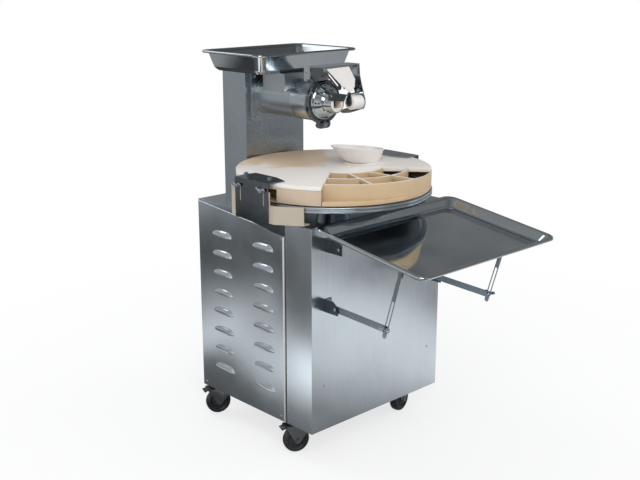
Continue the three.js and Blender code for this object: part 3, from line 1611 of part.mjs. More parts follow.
function makeDropTray() {
  let tray = makeTrayPan();
  const underside = -trayDepth;
  for (const side of [-1, 1]) {
    for (const point of [trayPivot, stayPivot]) {
      const [y, z] = inTrayFrame(point);
      const lug = prism([
        ...arcPoints(lugHalf, 180, 360, arcSteps, y, z),
        [y + lugFootHalf, underside + traySheet / 2],
        [y - lugFootHalf, underside + traySheet / 2],
      ], 'x', supportInner, supportInner + supportThickness);
      const foot = box(
        supportInner - bracketFlangeWidth / 2, supportInner + supportThickness,
        y - lugFootHalf, y + lugFootHalf, underside - supportThickness, underside + traySheet / 2);
      let mount = join(lug, foot);
      if (point === trayPivot) {
        const from = supportInner - cutOverrun;
        const bore = rod('x', boreRadius(pivotPinRadius), [y, z], from, supportOuter, smallSides);
        mount = mount.subtract(bore);
      } else {
        const from = supportInner + supportThickness / 2;
        const to = supportOuter + supportThickness + pinProud;
        mount = mount.add(rod('x', pivotPinRadius, [y, z], from, to, smallSides));
      }
      tray = tray.add(side < 0 ? mount.mirror([1, 0, 0]) : mount);
    }
  }
  return tray;
}

// Wall bracket: a flange on the front panel and a plate that carries the pivot pin
function makeWallBracket(pivot, side) {
  const wall = cabinetFront - seatGap;
  const plateOutline = [
    [wall, pivot[1] + bracketPlateTop],
    [wall, pivot[1] - bracketPlateBottom],
    [pivot[0] - bracketPlateReach, pivot[1] - bracketPlateBottom],
    [pivot[0] - bracketPlateReach, pivot[1] + bracketPlateTop / 3],
    [pivot[0] + bracketPlateReach, pivot[1] + bracketPlateTop],
  ];
  const cheek = prism(plateOutline, 'x', supportOuter, supportOuter + supportThickness);
  const flange = box(
    supportOuter + supportThickness - bracketFlangeWidth, supportOuter + supportThickness,
    wall - supportThickness, wall, pivot[1] - bracketPlateBottom, pivot[1] + bracketPlateTop);
  const pinEnd = supportOuter + supportThickness + pinProud;
  const pin = rod('x', pivotPinRadius, pivot, supportInner - pinProud, pinEnd, smallSides);
  const bracket = join(cheek, flange, pin);
  return side < 0 ? bracket.mirror([1, 0, 0]) : bracket;
}

// Arm: a flat bar from its wall bracket to the wing bolt, which passes through the stay's slot
function makeTrayArm(side) {
  const flat = prism(bar(armPivot, wingPlace, armHalf), 'x', supportInner, supportInner + supportThickness);
  const boreStart = supportInner - cutOverrun;
  const bore = rod('x', boreRadius(pivotPinRadius), armPivot, boreStart, supportOuter, smallSides);
  const tipX = supportOuter + supportThickness + wingHubLength + pinProud;
  const bolt = rod('x', wingBoltRadius, wingPlace, supportInner - boltHeadHeight / 2, tipX, smallSides);
  const headStart = supportInner - boltHeadHeight;
  const headEnd = supportInner + supportThickness / 2;
  const head = rod('x', boltHeadRadius, wingPlace, headStart, headEnd, hexSides);
  const arm = join(cut(flat, bore), bolt, head);
  return side < 0 ? arm.mirror([1, 0, 0]) : arm;
}

function makeTrayStay(side) {
  const length = Math.hypot(wingPlace[0] - stayPivot[0], wingPlace[1] - stayPivot[1]);
  const along = (reach) => between(stayPivot, wingPlace, reach / length);
  const from = supportOuter;
  const to = supportOuter + supportThickness;
  const flat = prism(bar(stayPivot, along(stayEnd), stayHalf), 'x', from, to);
  const slotOutline = bar(along(staySlotStart), along(staySlotEnd), staySlotHalf);
  const slot = prism(slotOutline, 'x', from - cutOverrun, to + cutOverrun);
  const boreCorner = boreRadius(pivotPinRadius);
  const bore = rod('x', boreCorner, stayPivot, from - cutOverrun, to + cutOverrun, smallSides);
  const stay = cut(flat, slot, bore);
  return side < 0 ? stay.mirror([1, 0, 0]) : stay;
}

function makeWingNut(side) {
  const from = supportOuter + supportThickness + seatGap;
  const to = from + wingHubLength;
  const hub = rod('x', wingHubRadius, [0, 0], from, to, smallSides);
  const rise = wingHubRadius / 2;
  const wings = prism(bar([-wingSpan, rise], [wingSpan, rise], rise), 'x', to - 2 * wingHalf, to);
  const bore = rod('x', boreRadius(wingBoltRadius), [0, 0], from - cutOverrun, to + cutOverrun, smallSides);
  const nut = cut(join(hub, wings), bore);
  return side < 0 ? nut.mirror([1, 0, 0]) : nut;
}

// Assembly
function addCabinet(machine) {
  addPiece(machine, 'floor_pan', makeFloorPan(), finishes.satinSteel);
  addPiece(machine, 'floor_frame', makeFloorFrame(), finishes.satinSteel);
  addPiece(machine, 'front_panel', makeFrontPanel(), finishes.brushedSteel);
  addPiece(machine, 'left_louvre_panel', makeLouvrePanel(), finishes.brushedSteel);
  addPiece(machine, 'right_panel', makeRightPanel(), finishes.brushedSteel);
  addPiece(machine, 'rear_panel', makeRearPanel(), finishes.brushedSteel);
  addPiece(machine, 'deck_plate', makeDeckPlate(), finishes.polishedSteel);
}

function addColumn(machine) {
  addPiece(machine, 'column_casing', makeColumnCasing(), finishes.satinSteel);
  addPiece(machine, 'column_rear_cover', makeRearCover(), finishes.satinSteel);
  addPiece(machine, 'feed_gearbox', makeFeedGearbox(), finishes.castSteel);
  const motor = addPiece(machine, 'feed_motor', makeMotor(), finishes.motorPaint);
  motor.position.set(gearboxWidth / 2 + seatGap, gearboxFront + gearboxDepth / 2, driveShaftHeight);
  const sprocket = addPiece(machine, 'drive_sprocket', makeDriveSprocket(), finishes.castSteel);
  sprocket.position.set(0, 0, driveShaftHeight);
  addPiece(machine, 'drive_chain', makeDriveChain(), finishes.darkSteel);
}

function addFeedHead(machine) {
  const head = new THREE.Group();
  head.position.set(0, 0, barrelHeight);
  machine.add(head);
  addPiece(head, 'feed_barrel', makeFeedBarrel(), finishes.castSteel);
  addPiece(head, 'feed_screw', makeFeedScrew(), finishes.polishedSteel);
  addPiece(head, 'screw_sprocket', makeScrewSprocket(), finishes.castSteel);
  addPiece(head, 'screw_bearing', makeScrewBearing(), finishes.castSteel);
  addPiece(head, 'clamp_ring', makeClampRing(), finishes.darkSteel);
  addPiece(head, 'nozzle', makeNozzle(), finishes.polishedSteel);
  addPiece(head, 'nozzle_bush', makeNozzleBush(), finishes.creamNylon);
  const knife = addPiece(head, 'knife_blade', makeKnifeBlade(), finishes.darkSteel);
  knife.position.set(knifePivot[0], knifeBack, knifePivot[1]);
  addPiece(head, 'cutter_bracket', makeCutterBracket(), finishes.polishedSteel);
  addPiece(head, 'deflector_plate', makeDeflectorPlate(), finishes.whiteNylon);
  addPiece(head, 'slotted_bar', makeSlottedBar(), finishes.darkSteel);
  addPiece(head, 'feeler_arm', makeFeelerArm(), finishes.darkSteel);
  const roller = addPiece(head, 'feeler_roller', makeFeelerRoller(), finishes.whiteNylon);
  roller.position.set(rollerLeft, rollerCentre[0], rollerCentre[1]);
  addPiece(machine, 'hopper_pan', makeHopperPan(), finishes.polishedSteel);
}

function addRounder(machine) {
  const disc = new THREE.Group();
  disc.position.set(0, discCentreY, 0);
  machine.add(disc);
  addPiece(disc, 'turntable', makeTurntable(), finishes.brushedSteel);
  addPiece(disc, 'turntable_shaft', makeTurntableShaft(), finishes.castSteel);
  addPiece(disc, 'turntable_bearing', makeTurntableBearing(), finishes.castSteel);
  addPiece(disc, 'turntable_gearbox', makeTurntableGearbox(), finishes.castSteel);
  const motor = addPiece(disc, 'turntable_motor', makeMotor(), finishes.motorPaint);
  const motorHeight = deckTop - deckSheet - turnGearboxHeight + turnMotorRise;
  motor.position.set(turnGearboxWidth / 2 + seatGap, 0, motorHeight);
  addPiece(disc, 'track_cover', makeTrackCover(), finishes.creamNylon);
  addPiece(disc, 'track_skirt', makeTrackSkirt(), finishes.creamNylon);
  addPiece(disc, 'spiral_guide', makeSpiralGuide(), finishes.creamNylon);
  const funnel = addPiece(disc, 'funnel', makeFunnel(), finishes.whiteNylon);
  funnel.position.set(funnelPlace[0], funnelPlace[1], trackTop + seatGap);
  addPiece(disc, 'left_bracket', makeSideBracket(-1, true), finishes.darkSteel);
  addPiece(disc, 'right_bracket', makeSideBracket(1, false), finishes.satinSteel);
  addPiece(disc, 'outlet_chute', makeOutletChute(), finishes.creamNylon);
}

function addTray(machine) {
  const supports = new THREE.Group();
  supports.position.set(cabinetOffset, 0, 0);
  machine.add(supports);
  const tray = addPiece(supports, 'drop_tray', makeDropTray(), finishes.polishedSteel);
  tray.position.set(0, trayBackY, trayBackHeight);
  tray.rotation.x = trayTilt;
  for (const [name, side] of [['left', -1], ['right', 1]]) {
    addPiece(supports, `upper_bracket_${name}`, makeWallBracket(trayPivot, side), finishes.darkSteel);
    addPiece(supports, `lower_bracket_${name}`, makeWallBracket(armPivot, side), finishes.darkSteel);
    addPiece(supports, `tray_arm_${name}`, makeTrayArm(side), finishes.satinSteel);
    addPiece(supports, `tray_stay_${name}`, makeTrayStay(side), finishes.satinSteel);
    const nut = addPiece(supports, `wing_nut_${name}`, makeWingNut(side), finishes.zincSteel);
    nut.position.set(0, wingPlace[0], wingPlace[1]);
  }
}

const doughDivider = new THREE.Group();
const trayFront = trayBackY - trayLength * Math.cos(trayTilt);
doughDivider.position.set(0, -(trayFront + panBack) / 2, 0);
addCabinet(doughDivider);
addCasters(doughDivider);
addColumn(doughDivider);
addFeedHead(doughDivider);
addRounder(doughDivider);
addTray(doughDivider);

export default doughDivider;
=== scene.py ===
"""Looks of a dough divider with a spiral rounder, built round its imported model."""
import json
import math

import bmesh
import bpy
import numpy as np
from bpy.props import FloatProperty, FloatVectorProperty, IntProperty, PointerProperty
from bpy.types import Operator, Panel, PropertyGroup
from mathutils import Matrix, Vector
from mathutils.geometry import tessellate_polygon

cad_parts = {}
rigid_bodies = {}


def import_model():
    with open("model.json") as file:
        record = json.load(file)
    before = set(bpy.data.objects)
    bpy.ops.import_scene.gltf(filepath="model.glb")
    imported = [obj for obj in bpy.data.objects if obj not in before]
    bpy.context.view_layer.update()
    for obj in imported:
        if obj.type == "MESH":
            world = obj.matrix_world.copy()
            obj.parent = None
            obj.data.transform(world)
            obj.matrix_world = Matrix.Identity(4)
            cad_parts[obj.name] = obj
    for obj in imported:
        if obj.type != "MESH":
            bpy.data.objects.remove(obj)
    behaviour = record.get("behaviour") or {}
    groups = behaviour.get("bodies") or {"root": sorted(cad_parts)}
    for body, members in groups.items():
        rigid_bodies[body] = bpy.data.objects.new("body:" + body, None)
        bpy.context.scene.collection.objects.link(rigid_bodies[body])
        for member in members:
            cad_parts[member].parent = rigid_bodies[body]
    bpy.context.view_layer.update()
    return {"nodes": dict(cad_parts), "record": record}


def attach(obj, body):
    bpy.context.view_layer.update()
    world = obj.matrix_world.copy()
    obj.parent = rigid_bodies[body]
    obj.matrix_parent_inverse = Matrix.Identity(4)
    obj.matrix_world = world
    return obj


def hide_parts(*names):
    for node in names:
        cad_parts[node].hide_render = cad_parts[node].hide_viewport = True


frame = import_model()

bl_info = {
    "name": "Dough divider",
    "version": (1, 0, 0),
    "blender": (4, 5, 0),
    "location": "View3D > Sidebar > Divider",
    "description": "Surfaces and finishes of a dough divider with a spiral rounder",
    "category": "Object",
}

NODES = frame["nodes"]
FINISHES = {}
SLOTS = {row["node"]: row["material_slot"] for row in frame["record"]["subparts"]}
MM = 0.001
WELD = 2e-6
SHARP_EDGE = 30
Y_SHIFT = 175.342
CABINET_X = 19.0
CABINET_LEFT = -266.0
CABINET_FRONT = -266.0
CABINET_BACK = 266.0
DISC_Y = -83.0
DISC_RADIUS = 303.0
BARREL_HEIGHT = 1060.0
COLUMN_TOP = 1142.0


# Sizes and colours that a user would change

class DividerSizes(PropertyGroup):
    round_segments: IntProperty(
        name="Round segments", description="Faces round a turned part",
        default=96, min=12, subtype="UNSIGNED")
    louvre_proud: FloatProperty(
        name="Louvre height", description="How far a louvre stands out of its panel",
        default=0.0068, min=0.0, subtype="DISTANCE", unit="LENGTH")
    camera_lens: FloatProperty(
        name="Lens", description="Focal length of the camera",
        default=56.12, min=1.0, subtype="DISTANCE_CAMERA")


def colour_property(label, description, value):
    return FloatVectorProperty(
        name=label, description=description, default=value, size=3, min=0.0, max=1.0, subtype="COLOR")


class DividerColours(PropertyGroup):
    brushed_steel: colour_property("Brushed steel", "Cabinet sheet", (0.56, 0.62, 0.67))
    polished_steel: colour_property("Polished steel", "Pan, tray and nozzle", (0.50, 0.545, 0.58))
    satin_steel: colour_property("Satin steel", "Column and supports", (0.38, 0.43, 0.47))
    dark_steel: colour_property("Dark steel", "Brackets and clamp ring", (0.16, 0.18, 0.20))
    cast_steel: colour_property("Machined casting", "Barrel and gearboxes", (0.41, 0.455, 0.485))
    fork_steel: colour_property("Fork steel", "Caster forks", (0.27, 0.29, 0.30))
    turntable_alloy: colour_property("Turntable alloy", "Turned turntable", (0.50, 0.55, 0.59))
    lid_nylon: colour_property("Lid nylon", "Clean top of the track cover", (0.74, 0.70, 0.65))
    # Painted reflection: the tan patches on the track cover stand for a reflection; on the bush the tan is
    # the nylon's own second tone.
    tan_nylon_and_reflection: colour_property("Tan nylon and reflection", "Tan patches on the track cover", (0.72, 0.54, 0.37))
    cream_nylon: colour_property("Cream nylon", "Skirt of the track", (0.50, 0.395, 0.285))
    # Partly painted shade: the amber stands for the warm shade inside the track's cells as well as for the
    # nylon's colour.
    amber_nylon: colour_property("Amber nylon", "Spiral guide inside the track", (0.55, 0.40, 0.24))
    chute_nylon: colour_property("Chute nylon", "Outlet chute", (0.43, 0.37, 0.29))
    white_nylon: colour_property("White nylon", "Funnel, roller and plate", (0.72, 0.69, 0.66))
    motor_paint: colour_property("Motor paint", "Gear motors", (0.05, 0.10, 0.15))
    black_rubber: colour_property("Black rubber", "Caster tyres", (0.012, 0.013, 0.015))
    black_plastic: colour_property("Black plastic", "Brake pedals", (0.010, 0.011, 0.012))
    zinc_steel: colour_property("Zinc plate", "Wing nuts, forks and screws", (0.42, 0.45, 0.48))
    floor: colour_property("Floor", "Studio floor", (0.90, 0.90, 0.90))


# Points, loops and grids

def laid(axis, across, up, along):
    """Points with two coordinates across an axis and one along it, as whole arrays."""
    order = {"x": (along, across, up), "y": (across, along, up), "z": (across, up, along)}[axis]
    return np.stack(np.broadcast_arrays(*order), -1).astype(float)


def grid_part(grid, rows_closed=False, columns_closed=True, ends=False):
    """The quads between the neighbours of a grid of points, and flat ends if they are asked for."""
    rows, columns = grid.shape[:2]
    i = np.arange(rows if rows_closed else rows - 1)[:, None]
    j = np.arange(columns if columns_closed else columns - 1)[None, :]
    below, beside = (i + 1) % rows, (j + 1) % columns
    corners = np.broadcast_arrays(
        i * columns + j, i * columns + beside, below * columns + beside, below * columns + j)
    faces = np.stack(corners, -1).reshape(-1, 4).tolist()
    if ends:
        first = list(range(columns))
        faces += [first[::-1], [(rows - 1) * columns + n for n in first]]
    return grid.reshape(-1, 3), faces


def joined(parts):
    """Several parts as one list of points and faces."""
    starts = np.cumsum([0] + [len(points) for points, _ in parts])
    faces = [[n + start for n in face] for start, (_, own) in zip(starts.tolist(), parts) for face in own]
    return np.concatenate([points for points, _ in parts]), faces


def moved(part, shift):
    return part[0] + np.asarray(shift, float), part[1]


def mirrored(part):
    """The part mirrored across the plane x = 0."""
    return part[0] * [-1.0, 1.0, 1.0], [face[::-1] for face in part[1]]


def aimed(part, place, direction):
    """A part made along +Z, turned so that +Z points in a direction and set at a place."""
    turn = np.array(Vector(direction).to_track_quat("Z", "Y").to_matrix())
    return part[0] @ turn.T + np.asarray(place, float), part[1]


def eased(points, radius, steps=3):
    """An open path with rounded corners: each corner gives way to the parabola between the two
    points that lie a radius, or at most 45% of the side, from it."""
    corner = np.asarray(points, float)
    before, after = np.roll(corner, 1, 0), np.roll(corner, -1, 0)
    before[0], after[-1] = after[0], before[-1]
    to_before = np.linalg.norm(before - corner, axis=1, keepdims=True)
    to_after = np.linalg.norm(after - corner, axis=1, keepdims=True)
    reach = np.minimum(radius, 0.45 * np.minimum(to_before, to_after))
    reach[[0, -1]] = 0
    start = corner + (before - corner) / to_before * reach
    end = corner + (after - corner) / to_after * reach
    t = np.linspace(0, 1, steps + 1)[None, :, None]
    curve = (1 - t) ** 2 * start[:, None] + 2 * t * (1 - t) * corner[:, None] + t ** 2 * end[:, None]
    return curve.reshape(-1, corner.shape[1])


def without_doubles(loop):
    """A closed loop without points that repeat the one before them."""
    loop = np.asarray(loop, float)
    return loop[np.linalg.norm(loop - np.roll(loop, 1, 0), axis=1) > 1e-4]


def around(segments):
    """The bearings of a full circle's points, in radians."""
    return np.linspace(0, 2 * np.pi, segments, endpoint=False)


def circled(radius, angle, centre=(0.0, 0.0)):
    """Points at a radius and a bearing: r cos a and r sin a from the centre."""
    return np.stack([centre[0] + radius * np.cos(angle), centre[1] + radius * np.sin(angle)], -1)


def polar(radius, degrees):
    """The same with the bearing in degrees and the centre at the origin."""
    return circled(radius, np.radians(degrees))


def ring_of(radius, centre=(0.0, 0.0), segments=48):
    """A full circle of evenly spaced points."""
    return circled(radius, around(segments), centre)


def arc(radius, start, end, steps, centre=(0.0, 0.0)):
    """A circular arc between two bearings in degrees."""
    return circled(radius, np.radians(np.linspace(start, end, steps + 1)), centre)


def rounded_box(x0, x1, y0, y1, radius, steps=10):
    """A rectangle whose corners are quarter circles."""
    return np.concatenate([
        arc(radius, 0, 90, steps, (x1 - radius, y1 - radius)),
        arc(radius, 90, 180, steps, (x0 + radius, y1 - radius)),
        arc(radius, 180, 270, steps, (x0 + radius, y0 + radius)),
        arc(radius, 270, 360, steps, (x1 - radius, y0 + radius)),
    ])


def slot_loop(start, end, half):
    """The outline of a bar with round ends."""
    angle = math.degrees(math.atan2(end[1] - start[1], end[0] - start[0]))
    return np.concatenate([
        arc(half, angle - 90, angle + 90, 10, end), arc(half, angle + 90, angle + 270, 10, start)])


def offset_loop(loop, distance):
    """A loop moved to its left by a distance, along the bisectors of its corners."""
    loop = np.asarray(loop, float)
    came, goes = loop - np.roll(loop, 1, 0), np.roll(loop, -1, 0) - loop
    came = came / np.linalg.norm(came, axis=1, keepdims=True)
    goes = goes / np.linalg.norm(goes, axis=1, keepdims=True)
    left_came = np.stack([-came[:, 1], came[:, 0]], -1)
    bisector = left_came + np.stack([-goes[:, 1], goes[:, 0]], -1)
    bisector = bisector / np.maximum(np.linalg.norm(bisector, axis=1, keepdims=True), 1e-6)
    reach = 1 / np.maximum((bisector * left_came).sum(1, keepdims=True), 0.35)
    return loop + bisector * reach * distance


def filled(loops):
    """The triangles between an outline and its holes."""
    return [list(t) for t in tessellate_polygon([[Vector((x, y, 0)) for x, y in loop] for loop in loops])]


def oriented(loop, sign):
    """The loop, run anticlockwise for sign 1 and clockwise for -1."""
    loop = without_doubles(loop)
    x, y = loop.T
    area = np.sum(x * np.roll(y, -1) - np.roll(x, -1) * y)
    return loop if area * sign > 0 else loop[::-1]


def plate(outline, axis, low, high, edge=0.5, holes=()):
    """A flat plate: its outline and holes carried from one face to the other, the edges rounded
    by quarter circles, and both faces filled."""
    loops = [oriented(outline, 1)] + [oriented(hole, -1) for hole in holes]
    turn = np.linspace(0, np.pi / 2, 4)
    inset, rise = edge * (1 - np.sin(turn)), edge * (1 - np.cos(turn))
    insets = np.concatenate([inset, inset[::-1]])
    heights = np.concatenate([low + rise, high - rise[::-1]])
    parts = [
        grid_part(np.stack([laid(axis, *offset_loop(loop, d).T, h) for d, h in zip(insets, heights)]))
        for loop in loops]
    flat = [offset_loop(loop, edge) for loop in loops]
    across, up = np.concatenate(flat).T
    parts += [(laid(axis, across, up, height), filled(flat)) for height in (low, high)]
    return joined(parts)


def turned(profile, axis="z", centre=(0, 0, 0), segments=None):
    """A profile of (radius, height) swept round an axis: r cos a and r sin a across, h along."""
    count = segments or bpy.context.scene.divider_sizes.round_segments
    angle = around(count)
    radius, height = np.asarray(profile, float).T
    across, up = radius[:, None] * np.cos(angle), radius[:, None] * np.sin(angle)
    return grid_part(laid(axis, across, up, height[:, None]) + np.asarray(centre, float))


def hexed(profile, hexagonal, segments=48):
    """A turned profile where the rows marked hexagonal follow a hexagon: there the radius is
    divided by the cosine of the bearing from the nearest flat's middle."""
    angle = around(segments)
    radius, height = np.asarray(profile, float).T
    bearing = np.mod(angle + np.pi / 6, np.pi / 3) - np.pi / 6
    factor = np.where(np.asarray(hexagonal, bool)[:, None], 1 / np.cos(bearing)[None, :], 1.0)
    reach = radius[:, None] * factor
    return grid_part(laid("z", reach * np.cos(angle), reach * np.sin(angle), height[:, None]))


# Meshes and pieces

def mesh_from(name, part, sharp_degrees, heal=True):
    """A mesh of a part in metres, with double points merged and, if asked, its faces turned outward."""
    points, faces = part
    mesh = bpy.data.meshes.new(name)
    mesh.from_pydata((np.asarray(points) * MM).tolist(), [], faces)
    shell = bmesh.new()
    shell.from_mesh(mesh)
    bmesh.ops.remove_doubles(shell, verts=shell.verts, dist=WELD)
    bmesh.ops.dissolve_degenerate(shell, dist=WELD, edges=shell.edges)
    if heal:
        bmesh.ops.recalc_face_normals(shell, faces=shell.faces)
    return smoothed(mesh, shell, sharp_degrees)


def smoothed(mesh, shell, sharp_degrees):
    """Writes a shell back to its mesh, smooth but for the edges sharper than an angle."""
    shell.to_mesh(mesh)
    shell.free()
    mesh.polygons.foreach_set("use_smooth", np.ones(len(mesh.polygons), bool))
    mesh.set_sharp_from_angle(angle=math.radians(sharp_degrees))
    return mesh


def placed(name, mesh, material):
    """An object of the mesh in the scene, with its material."""
    piece = bpy.data.objects.new(name, mesh)
    bpy.context.scene.collection.objects.link(piece)
    piece.data.materials.append(material)
    return piece


def add_piece(name, part, finish, body, replaces=(), sharp_degrees=35):
    """One finished piece at the origin, with its material, body and the nodes it stands for."""
    piece = placed(name, mesh_from(name, part, sharp_degrees), FINISHES[finish])
    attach(piece, body)
    if replaces:
        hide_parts(*replaces)
    return piece


def formed(node, width, finish=None):
    """A copy of a CAD node that takes its place: its triangles are merged into flat faces and their
    edges rounded, and the normals are weighted by area, so that flat faces stay flat."""
    source = NODES[node]
    shell = bmesh.new()
    shell.from_mesh(source.data)
    bmesh.ops.remove_doubles(shell, verts=shell.verts, dist=1e-5)
    bmesh.ops.recalc_face_normals(shell, faces=shell.faces)
    bmesh.ops.dissolve_limit(shell, angle_limit=math.radians(0.8), verts=shell.verts, edges=shell.edges)
    name = f"{node}_formed"
    mesh = smoothed(bpy.data.meshes.new(name), shell, SHARP_EDGE)
    piece = placed(name, mesh, FINISHES[finish or SLOTS[node]])
    bevel = piece.modifiers.new("rounded edges", "BEVEL")
    bevel.width = width
    bevel.segments = 2
    bevel.limit_method = "ANGLE"
    bevel.angle_limit = math.radians(SHARP_EDGE)
    bevel.use_clamp_overlap = True
    weighted = piece.modifiers.new("flat faces", "WEIGHTED_NORMAL")
    weighted.weight = 80
    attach(piece, source.parent.name.split(":")[1])
    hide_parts(node)
    return piece


def rounded(width, *nodes):
    """A formed copy of each node, its edges rounded by the same width."""
    for node in nodes:
        formed(node, width)


# Node trees

class Tree:
    """A short way to add nodes to a tree and link them."""

    def __init__(self, tree):
        self.tree = tree
        self.tree.nodes.clear()

    def add(self, kind, inputs=None, **settings):
        """A node with its settings, each input given as a link, a number, a vector or a colour."""
        node = self.tree.nodes.new(kind)
        for key, value in settings.items():
            setattr(node, key, value)
        for key, value in (inputs or {}).items():
            socket = node.inputs[key]
            if isinstance(value, bpy.types.NodeSocket):
                self.link(value, socket)
            elif socket.type == "RGBA":
                socket.default_value = (*value[:3], 1.0)
            else:
                socket.default_value = value
        return node

    def link(self, source, target):
        self.tree.links.new(source, target)

    def noise(self, place, scale, detail=3.0, roughness=0.55):
        """Noise whose features are 1/scale metres long along each axis, or along all three."""
        scale = scale if isinstance(scale, tuple) else (scale, scale, scale)
        stretched = self.add("ShaderNodeMapping", {"Vector": place, "Scale": scale})
        made = self.add("ShaderNodeTexNoise", {
            "Vector": stretched.outputs["Vector"], "Scale": 1.0, "Detail": detail, "Roughness": roughness})
        return made.outputs["Fac"]

    def ramp(self, value, stops):
        """A value turned into the colour or grey between the stops on each side of it."""
        made = self.add("ShaderNodeValToRGB", {"Fac": value})
        elements = made.color_ramp.elements
        while len(elements) < len(stops):
            elements.new(0.5)
        for element, (place, colour) in zip(elements, stops):
            element.position = place
            element.color = (*colour, 1.0) if hasattr(colour, "__len__") else (colour, colour, colour, 1.0)
        return made.outputs["Color"]

    def axes(self, vector):
        return self.add("ShaderNodeSeparateXYZ", {"Vector": vector}).outputs

    def along(self, vector, direction):
        """How far a point lies in a direction."""
        return self.add(
            "ShaderNodeVectorMath", {0: vector, 1: direction}, operation="DOT_PRODUCT").outputs["Value"]

    def upward(self):
        """How far a surface faces up, from -1 to 1."""
        return self.axes(self.add("ShaderNodeNewGeometry").outputs["Normal"])["Z"]

    def span(self, value, low, high, from_low=0.0, from_high=1.0):
        """A value's place between two limits, carried to the place between low and high."""
        return self.add("ShaderNodeMapRange", {
            "Value": value, "From Min": from_low, "From Max": from_high, "To Min": low, "To Max": high,
        }).outputs["Result"]

    def blend(self, factor, first, second, mode="MIX"):
        return self.add(
            "ShaderNodeMix", {0: factor, 6: first, 7: second}, data_type="RGBA", blend_type=mode).outputs[2]

    def maths(self, operation, first, second=0.0):
        return self.add("ShaderNodeMath", {0: first, 1: second}, operation=operation).outputs[0]

    def bump(self, height, strength, distance, normal=None):
        """The normal of a surface raised by a height, on top of another normal if there is one."""
        inputs = {"Height": height, "Strength": strength, "Distance": distance}
        if normal is not None:
            inputs["Normal"] = normal
        return self.add("ShaderNodeBump", inputs).outputs["Normal"]


def shaded(values, factor):
    return tuple(min(1.0, v * factor) for v in values)


def two_tones(colour, factor):
    return tuple(colour), shaded(tuple(colour), factor)


def new_material(name):
    material = bpy.data.materials.new(name)
    material.use_nodes = True
    return material, Tree(material.node_tree)


def new_surface(name):
    """A material with a Principled surface: its tree, the surface and the Object coordinates."""
    FINISHES[name], tree = new_material(f"{name}_finish")
    surface = tree.add("ShaderNodeBsdfPrincipled")
    tree.add("ShaderNodeOutputMaterial", {"Surface": surface.outputs["BSDF"]})
    return tree, surface, tree.add("ShaderNodeTexCoord").outputs["Object"]


def metal(
        name, colour, roughness, grain, waves=0.0, contrast=0.10, spread=0.05, scratch=0.12, top_darkening=0.0):
    """Brushed, turned or polished metal: fine grain along one axis, cloudy wear and soft waves. The
    sides that face up can be made darker in patches."""
    tree, surface, place = new_surface(name)
    surface.inputs["Metallic"].default_value = 1.0
    fine = tree.noise(place, grain, 4.0, 0.7)
    cloud = tree.noise(place, 5.0, 5.0, 0.6)
    tone = tree.blend(0.6, fine, cloud)
    base = tree.blend(
        tree.ramp(tone, [(0.3, 0.0), (0.7, 1.0)]), shaded(colour, 1 - contrast), shaded(colour, 1 + contrast))
    # Darker in patches on the sides that face up, the more so the more they face up.
    if top_darkening:
        facing_up = tree.span(tree.upward(), 0.0, top_darkening, 0.05, 0.4)
        top_dark_patches = tree.maths("MULTIPLY", facing_up, tree.span(cloud, 1.0, 0.75, 0.3, 0.7))
        base = tree.blend(top_dark_patches, base, shaded(colour, 0.12))
    tree.link(base, surface.inputs["Base Color"])
    tree.link(
        tree.span(tone, max(0.02, roughness - spread), roughness + spread, 0.3, 0.7),
        surface.inputs["Roughness"])
    normal = tree.bump(fine, scratch, 0.0004)
    if waves:
        swell = tree.noise(place, (2.4, 2.4, 1.7), 1.0, 0.4)
        normal = tree.bump(swell, waves, 0.02, normal)
    tree.link(normal, surface.inputs["Normal"])


def moulded(
        name, colours, roughness, blotch=4.0, edges=(0.42, 0.62), grain=0.10, reflection_corner=0.0,
        rim=None):
    """Machined or moulded plastic: two tones in soft patches, fine tool marks, a satin sheen. A
    painted reflection can gather the second tone behind and to the left of the disc's middle, and
    the tops of the track's walls can take a rim colour as painted light on the lit tops."""
    tree, surface, place = new_surface(name)
    patches = tree.noise(place, blotch, 4.0, 0.55)
    # Painted reflection: a corner behind and to the left of the disc's middle takes the second tone.
    if reflection_corner:
        behind = tree.along(place, (0.69, 0.724, 0.0))
        across = tree.along(place, (0.724, -0.69, 0.0))
        corner = tree.maths(
            "MINIMUM", tree.span(behind, 0.0, reflection_corner, 0.02, 0.11),
            tree.span(across, reflection_corner, 0.0, -0.13, -0.03))
        patches = tree.maths("ADD", tree.maths("MULTIPLY", patches, 0.7), corner)
    fine = tree.noise(place, 260.0, 3.0, 0.6)
    marks = tree.noise(place, (30.0, 30.0, 500.0), 3.0, 0.6)
    base = tree.blend(tree.ramp(patches, [(edges[0], 0.0), (edges[1], 1.0)]), colours[0], colours[1])
    # Painted light: the sides that face up, above the cells' floor, take the lid's colour as lit tops, while
    # the other sides keep the amber shade.
    if rim:
        facing_up = tree.span(tree.upward(), 0.0, 1.0, 0.5, 0.9)
        above_floor = tree.span(tree.axes(place)["Z"], 0.0, 1.0, 0.835, 0.84)
        top = tree.maths("MULTIPLY", facing_up, above_floor)
        base = tree.blend(top, base, rim)
    tree.link(tree.blend(0.06, base, fine, "SOFT_LIGHT"), surface.inputs["Base Color"])
    tree.link(tree.span(fine, roughness - 0.06, roughness + 0.08, 0.3, 0.7), surface.inputs["Roughness"])
    tree.link(tree.bump(marks, grain, 0.0003), surface.inputs["Normal"])


